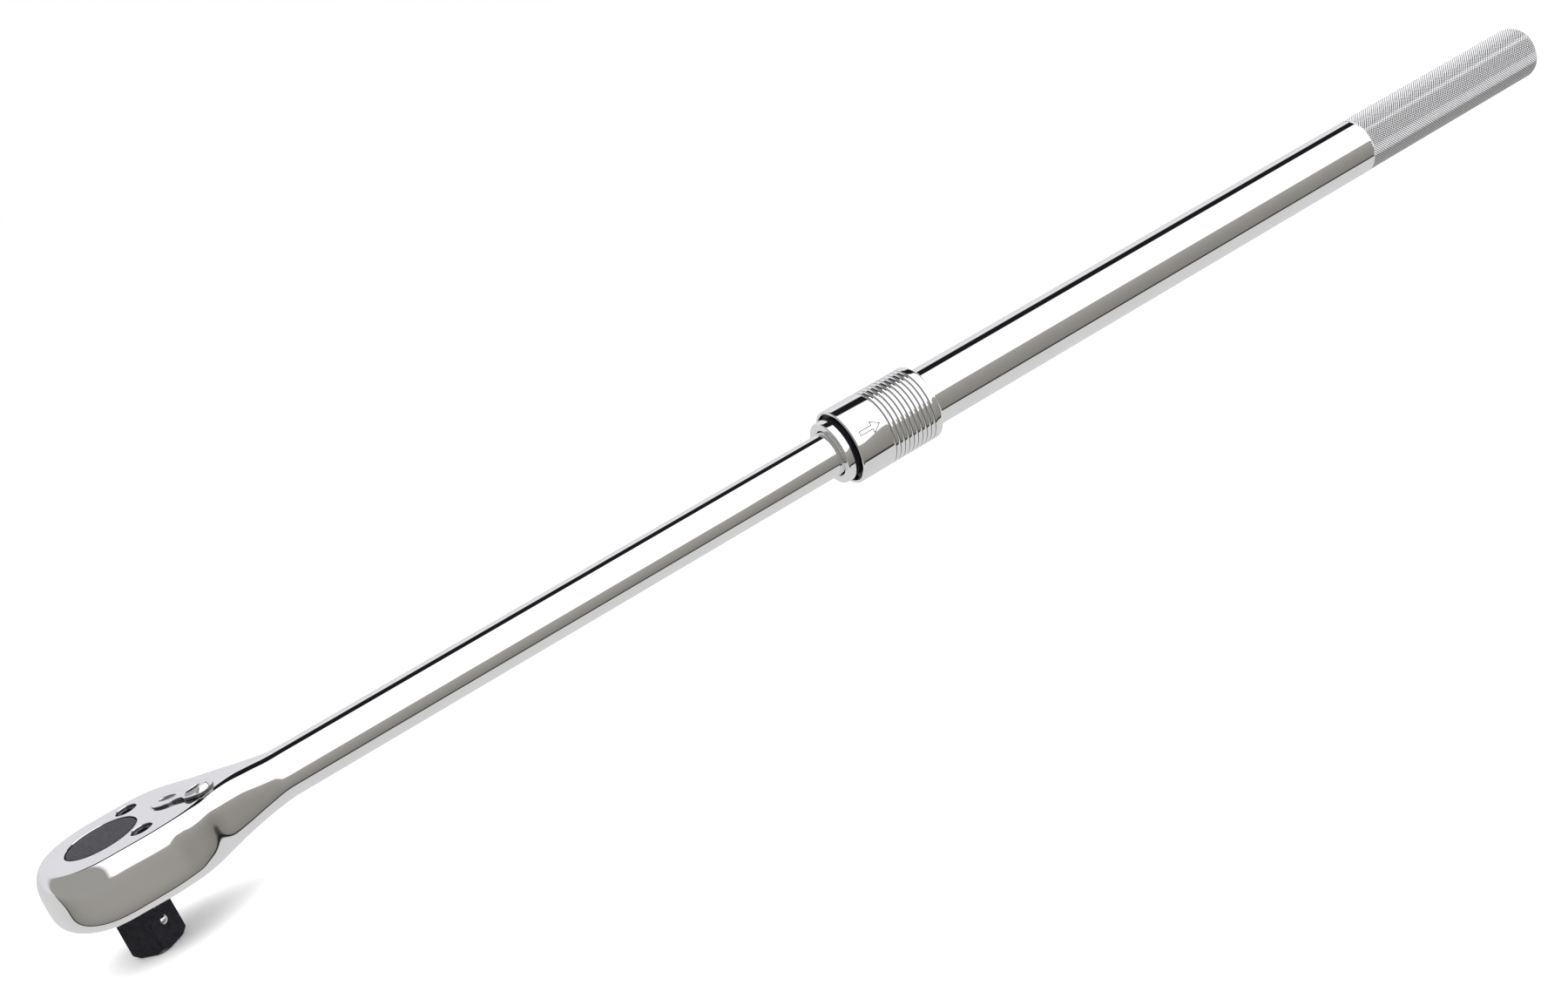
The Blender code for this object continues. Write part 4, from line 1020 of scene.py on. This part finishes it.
def end_plug():
    """Cup with a slightly dished face."""
    inner = PLUG_R - PLUG_WALL
    outline = [(0, PLUG_END), (PLUG_R - 2 * MM, PLUG_END - PLUG_DISH)]
    outline += arc(PLUG_R - PLUG_CROWN, PLUG_END - PLUG_CROWN, PLUG_CROWN, 80, 0, 5)
    outline += [(PLUG_R, PLUG_END - PLUG_LENGTH), (inner, PLUG_END - PLUG_LENGTH)]
    outline += [(inner, PLUG_END - PLUG_FACE), (0, PLUG_END - PLUG_FACE)]
    plug = show("grip_end_plug", turned_bmesh(outline, 96, "X", ON_AXIS), [CHROME])
    stand_for(plug, "end_plug")


def nose():
    """Bush in the tube's mouth, with a chromed collar and, behind it, a step painted black as shade."""
    front, rear = NOSE_LOW.x, NOSE_HIGH.x
    flange = TUBE_LOW.x - GAP
    fitted = TUBE_BORE_R - GAP
    outline = [(NOSE_BORE_R, rear), (fitted, rear), (fitted, flange), (SHADED_STEP_R, flange)]
    outline += [(SHADED_STEP_R, NOSE_COLLAR_END), (NOSE_R, NOSE_COLLAR_END)]
    outline += arc(NOSE_R - NOSE_LIP, front + NOSE_LIP, NOSE_LIP, 0, -90, 10)
    mouth = arc(NOSE_BORE_R + NOSE_MOUTH, front + NOSE_MOUTH_ROUND, NOSE_MOUTH_ROUND, -90, -180, 6)
    outline += mouth[:-1] + [(NOSE_BORE_R, front + NOSE_MOUTH)]
    bush = show("nose_collar", turned_bmesh(outline, FINE_ROUND, "X", ON_AXIS), [CHROME, BLACK])
    # Painted shade: the faces of the step behind the collar take the black oxide.
    slack = 0.05 * MM
    for face in bush.data.polygons:
        behind = NOSE_COLLAR_END - slack < face.center.x < flange + slack
        face.material_index = 1 if behind else 0
    stand_for(bush, "nose_bush")


def sleeve_outline():
    """Round the sleeve's half section from its rear: grooves, front lip, then the stepped bore."""
    front, rear = SLEEVE_LOW.x, SLEEVE_HIGH.x
    outer = arc(SLEEVE_R - SLEEVE_HEEL, rear - SLEEVE_HEEL, SLEEVE_HEEL, 90, 0, 14)
    shares = (0.5, 0.4, 0.32, 0.25, 0.18, 0.12, GROOVE_FLOOR / GROOVE_PITCH, 0.0)
    shares += tuple(-share for share in shares[-2::-1])
    for i in range(GROOVES - 1, -1, -1):
        x = GROOVE_FIRST_X + i * GROOVE_PITCH
        for share in shares:
            dip = GROOVE_DEPTH * (1 - 2 * abs(share)) ** GROOVE_POWER
            outer.append((SLEEVE_R - dip, x + GROOVE_PITCH * share))
    outer += arc(SLEEVE_R - SLEEVE_LIP, front + SLEEVE_LIP, SLEEVE_LIP, 0, -90, 8)
    guide = RING_HIGH.x + SLEEVE_TRAVEL + GAP
    guide_end = LOCK_X - LOCK_WINDOW_R
    land = LOCK_X + RAMP_LENGTH
    return outer + [
        (SLEEVE_BORE_R + SLEEVE_BORE_CHAMFER, front),
        (SLEEVE_BORE_R, front + SLEEVE_BORE_CHAMFER),
        (SLEEVE_BORE_R, guide),
        (SLEEVE_GUIDE_R, guide),
        (SLEEVE_GUIDE_R, guide_end),
        (SLEEVE_BORE_R, guide_end),
        (SLEEVE_BORE_R, LOCK_X),
        (SLEEVE_LAND_R, land),
        (SLEEVE_LAND_R, land + LAND_LENGTH),
        (SLEEVE_REAR_BORE_R, land + LAND_LENGTH),
        (SLEEVE_REAR_BORE_R, rear),
    ]


def sleeve():
    shape = turned_bmesh(sleeve_outline(), FINE_ROUND, "X", ON_AXIS)
    body = show("release_sleeve", shape, [CHROME, GROOVE_SHADE], 32)
    # Painted shade: the floors of the grooves get a darker, duller plate. The bore's faces at the same
    # places don't.
    for face in body.data.polygons:
        along = (face.center.x - GROOVE_FIRST_X) / GROOVE_PITCH
        from_groove = abs(along - round(along)) * GROOVE_PITCH
        outside = math.hypot(face.center.y, face.center.z - AXIS_Z) > SLEEVE_BORE_R + 0.5 * MM
        if outside and -0.2 < along < GROOVES - 0.8 and from_groove < GROOVE_FLOOR:
            face.material_index = 1
    stand_for(body, "lock_sleeve")


def release_arrow():
    """Outline of an arrow on the sleeve's smooth part, pointing the way the sleeve is pulled."""
    corners = [(ARROW_TAIL, ARROW_SHAFT), (ARROW_NECK, ARROW_SHAFT), (ARROW_NECK, ARROW_BARB)]
    corners += [(ARROW_TIP, 0)] + [(x, -y) for x, y in corners[::-1]]
    low, high = ARROW_SUNK, ARROW_PROUD
    bm = bmesh.new()
    for start, end in zip(corners, corners[1:] + corners[:1]):
        a, b = Vector(start), Vector(end)
        along = (b - a).normalized() * ARROW_LINE / 2
        side = Vector((-along.y, along.x))
        a, b = a - along, b + along
        rows = []
        for i in range(ARROW_STEPS + 1):
            point = a.lerp(b, i / ARROW_STEPS)
            left, right = point + side, point - side
            spots = ((left, low), (left, high), (right, high), (right, low))
            rows.append([arrow_point(bm, spot, height) for spot, height in spots])
        skin(bm, rows, False)
        bm.faces.new(rows[0])
        bm.faces.new(rows[-1][::-1])
    arrow = show("release_arrow", bm, [BLACK])
    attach(arrow, "sleeve")


def arrow_point(bm, point, height):
    """A flat drawing's point laid on the sleeve, at a height above its surface."""
    radius = SLEEVE_R + height
    angle = ARROW_HEADING + point.y / radius
    return bm.verts.new((point.x, -radius * math.cos(angle), AXIS_Z + radius * math.sin(angle)))


# ---------------------------------------------------------------- carried-over CAD nodes
def finish_nodes():
    surfaces = {
        "pawl": BLACK,
        "front_snap_ring": BLACK,
        "lever_clip": BRIGHT,
        "lever_plunger": BRIGHT,
        "bar_end_ring": BRIGHT,
        "spring_stop_ring": BRIGHT,
        "detent_spring": SPRING,
        "plunger_spring": SPRING,
        "sleeve_spring": SPRING,
        "lever_o_ring": RUBBER,
        "bar_guide_collar": BRONZE,
    }
    for node, surface in surfaces.items():
        mesh = frame["nodes"][node].data
        mesh.materials.clear()
        mesh.materials.append(surface)


# ---------------------------------------------------------------- studio
def white_floor():
    bm = bmesh.new()
    bmesh.ops.create_grid(bm, x_segments=8, y_segments=8, size=FLOOR_HALF)
    floor = show("floor", bm, [floor_paper()])
    floor.location = (MIDDLE_X, 0, CAD_BOX[0].z - FLOOR_DROP)
    floor.visible_glossy = False


def overhead_lamp():
    """Lights the floor evenly. The chrome doesn't show it."""
    lamp = bpy.data.lights.new("overhead_softbox", "AREA")
    lamp.size = LAMP_SIZE
    lamp.energy = LAMP_POWER
    overhead = bpy.data.objects.new("overhead_softbox", lamp)
    overhead.location = (MIDDLE_X, 0, LAMP_HEIGHT)
    overhead.visible_glossy = False
    bpy.context.scene.collection.objects.link(overhead)


def room_colour(tree):
    """The bands of light, by their angle round the bar."""
    place = tree.nodes.new("ShaderNodeTexCoord")
    split = tree.nodes.new("ShaderNodeSeparateXYZ")
    tree.links.new(place.outputs["Generated"], split.inputs["Vector"])
    x, y, z = (split.outputs[name] for name in "XYZ")
    # Left of the camera the cards curve round, so that the head's front end still reflects them.
    beyond = range_node(tree, x, CURVE_X, 0.0, CURVE_PULL)
    turn = math_node(tree, "ARCTAN2", z, math_node(tree, "SUBTRACT", beyond, y))
    # The white card's lower edge steps up where the outer tube reflects it.
    rise = range_node(tree, x, STEP_UP_X, 0.0, STEP_HEIGHT)
    fall = range_node(tree, x, STEP_DOWN_X, 1.0, 0.0)
    low_down = range_node(tree, math_node(tree, "ABSOLUTE", turn), STEP_ANGLE)
    raised = math_node(tree, "MULTIPLY", rise, fall)
    shift = math_node(tree, "MULTIPLY", raised, low_down)
    turned = math_node(tree, "SUBTRACT", turn, shift)
    share = math_node(tree, "MULTIPLY_ADD", turned, 1 / (2 * math.pi), 0.5)
    bands = ramp_node(tree, share, [((degrees + 180) / 360, colour) for degrees, colour in BANDS])
    # The softbox and the flag end to the left of the camera, and the grey wall shows there.
    ended = range_node(tree, x, WALL_X)
    above = range_node(tree, turn, WALL_LOW)
    before_back = range_node(tree, turn, WALL_HIGH)
    walled = math_node(tree, "MULTIPLY", math_node(tree, "MULTIPLY", ended, above), before_back)
    wall = tree.nodes.new("ShaderNodeMix")
    wall.data_type = "RGBA"
    tree.links.new(walled, wall.inputs["Factor"])
    tree.links.new(bands, wall.inputs["A"])
    wall.inputs["B"].default_value = (*SIDE_WALL, 1)
    return wall.outputs["Result"]


def world_light():
    """The room lights the part and shows in the chrome. Behind the floor the camera sees white."""
    world = bpy.data.worlds.new("studio")
    bpy.context.scene.world = world
    world.use_nodes = True
    tree = world.node_tree
    tree.nodes.clear()
    seen = tree.nodes.new("ShaderNodeBackground")
    tree.links.new(room_colour(tree), seen.inputs["Color"])
    plain = tree.nodes.new("ShaderNodeBackground")
    plain.inputs["Color"].default_value = (1, 1, 1, 1)
    path = tree.nodes.new("ShaderNodeLightPath")
    mix = tree.nodes.new("ShaderNodeMixShader")
    out = tree.nodes.new("ShaderNodeOutputWorld")
    tree.links.new(path.outputs["Is Camera Ray"], mix.inputs[0])
    tree.links.new(seen.outputs["Background"], mix.inputs[1])
    tree.links.new(plain.outputs["Background"], mix.inputs[2])
    tree.links.new(mix.outputs["Shader"], out.inputs["Surface"])


def camera():
    data = bpy.data.cameras.new("camera")
    data.sensor_width = CAMERA_SENSOR
    data.lens = CAMERA_LENS
    data.clip_end = CAMERA_REACH
    obj = bpy.data.objects.new("camera", data)
    obj.location = CAMERA_PLACE
    obj.rotation_euler = [math.radians(a) for a in CAMERA_ANGLES]
    bpy.context.scene.collection.objects.link(obj)
    bpy.context.scene.camera = obj


camera()
white_floor()
overhead_lamp()
world_light()
head()
cover()
screws()
drive()
ball("detent_ball_bearing", "detent_ball", DETENT_BALL_R)
ball("lock_ball_bearing", "lock_ball", LOCK_BALL_R)
lever()
tube()
end_plug()
nose()
sleeve()
release_arrow()
finish_nodes()
bpy.context.scene.view_settings.view_transform = "Standard"
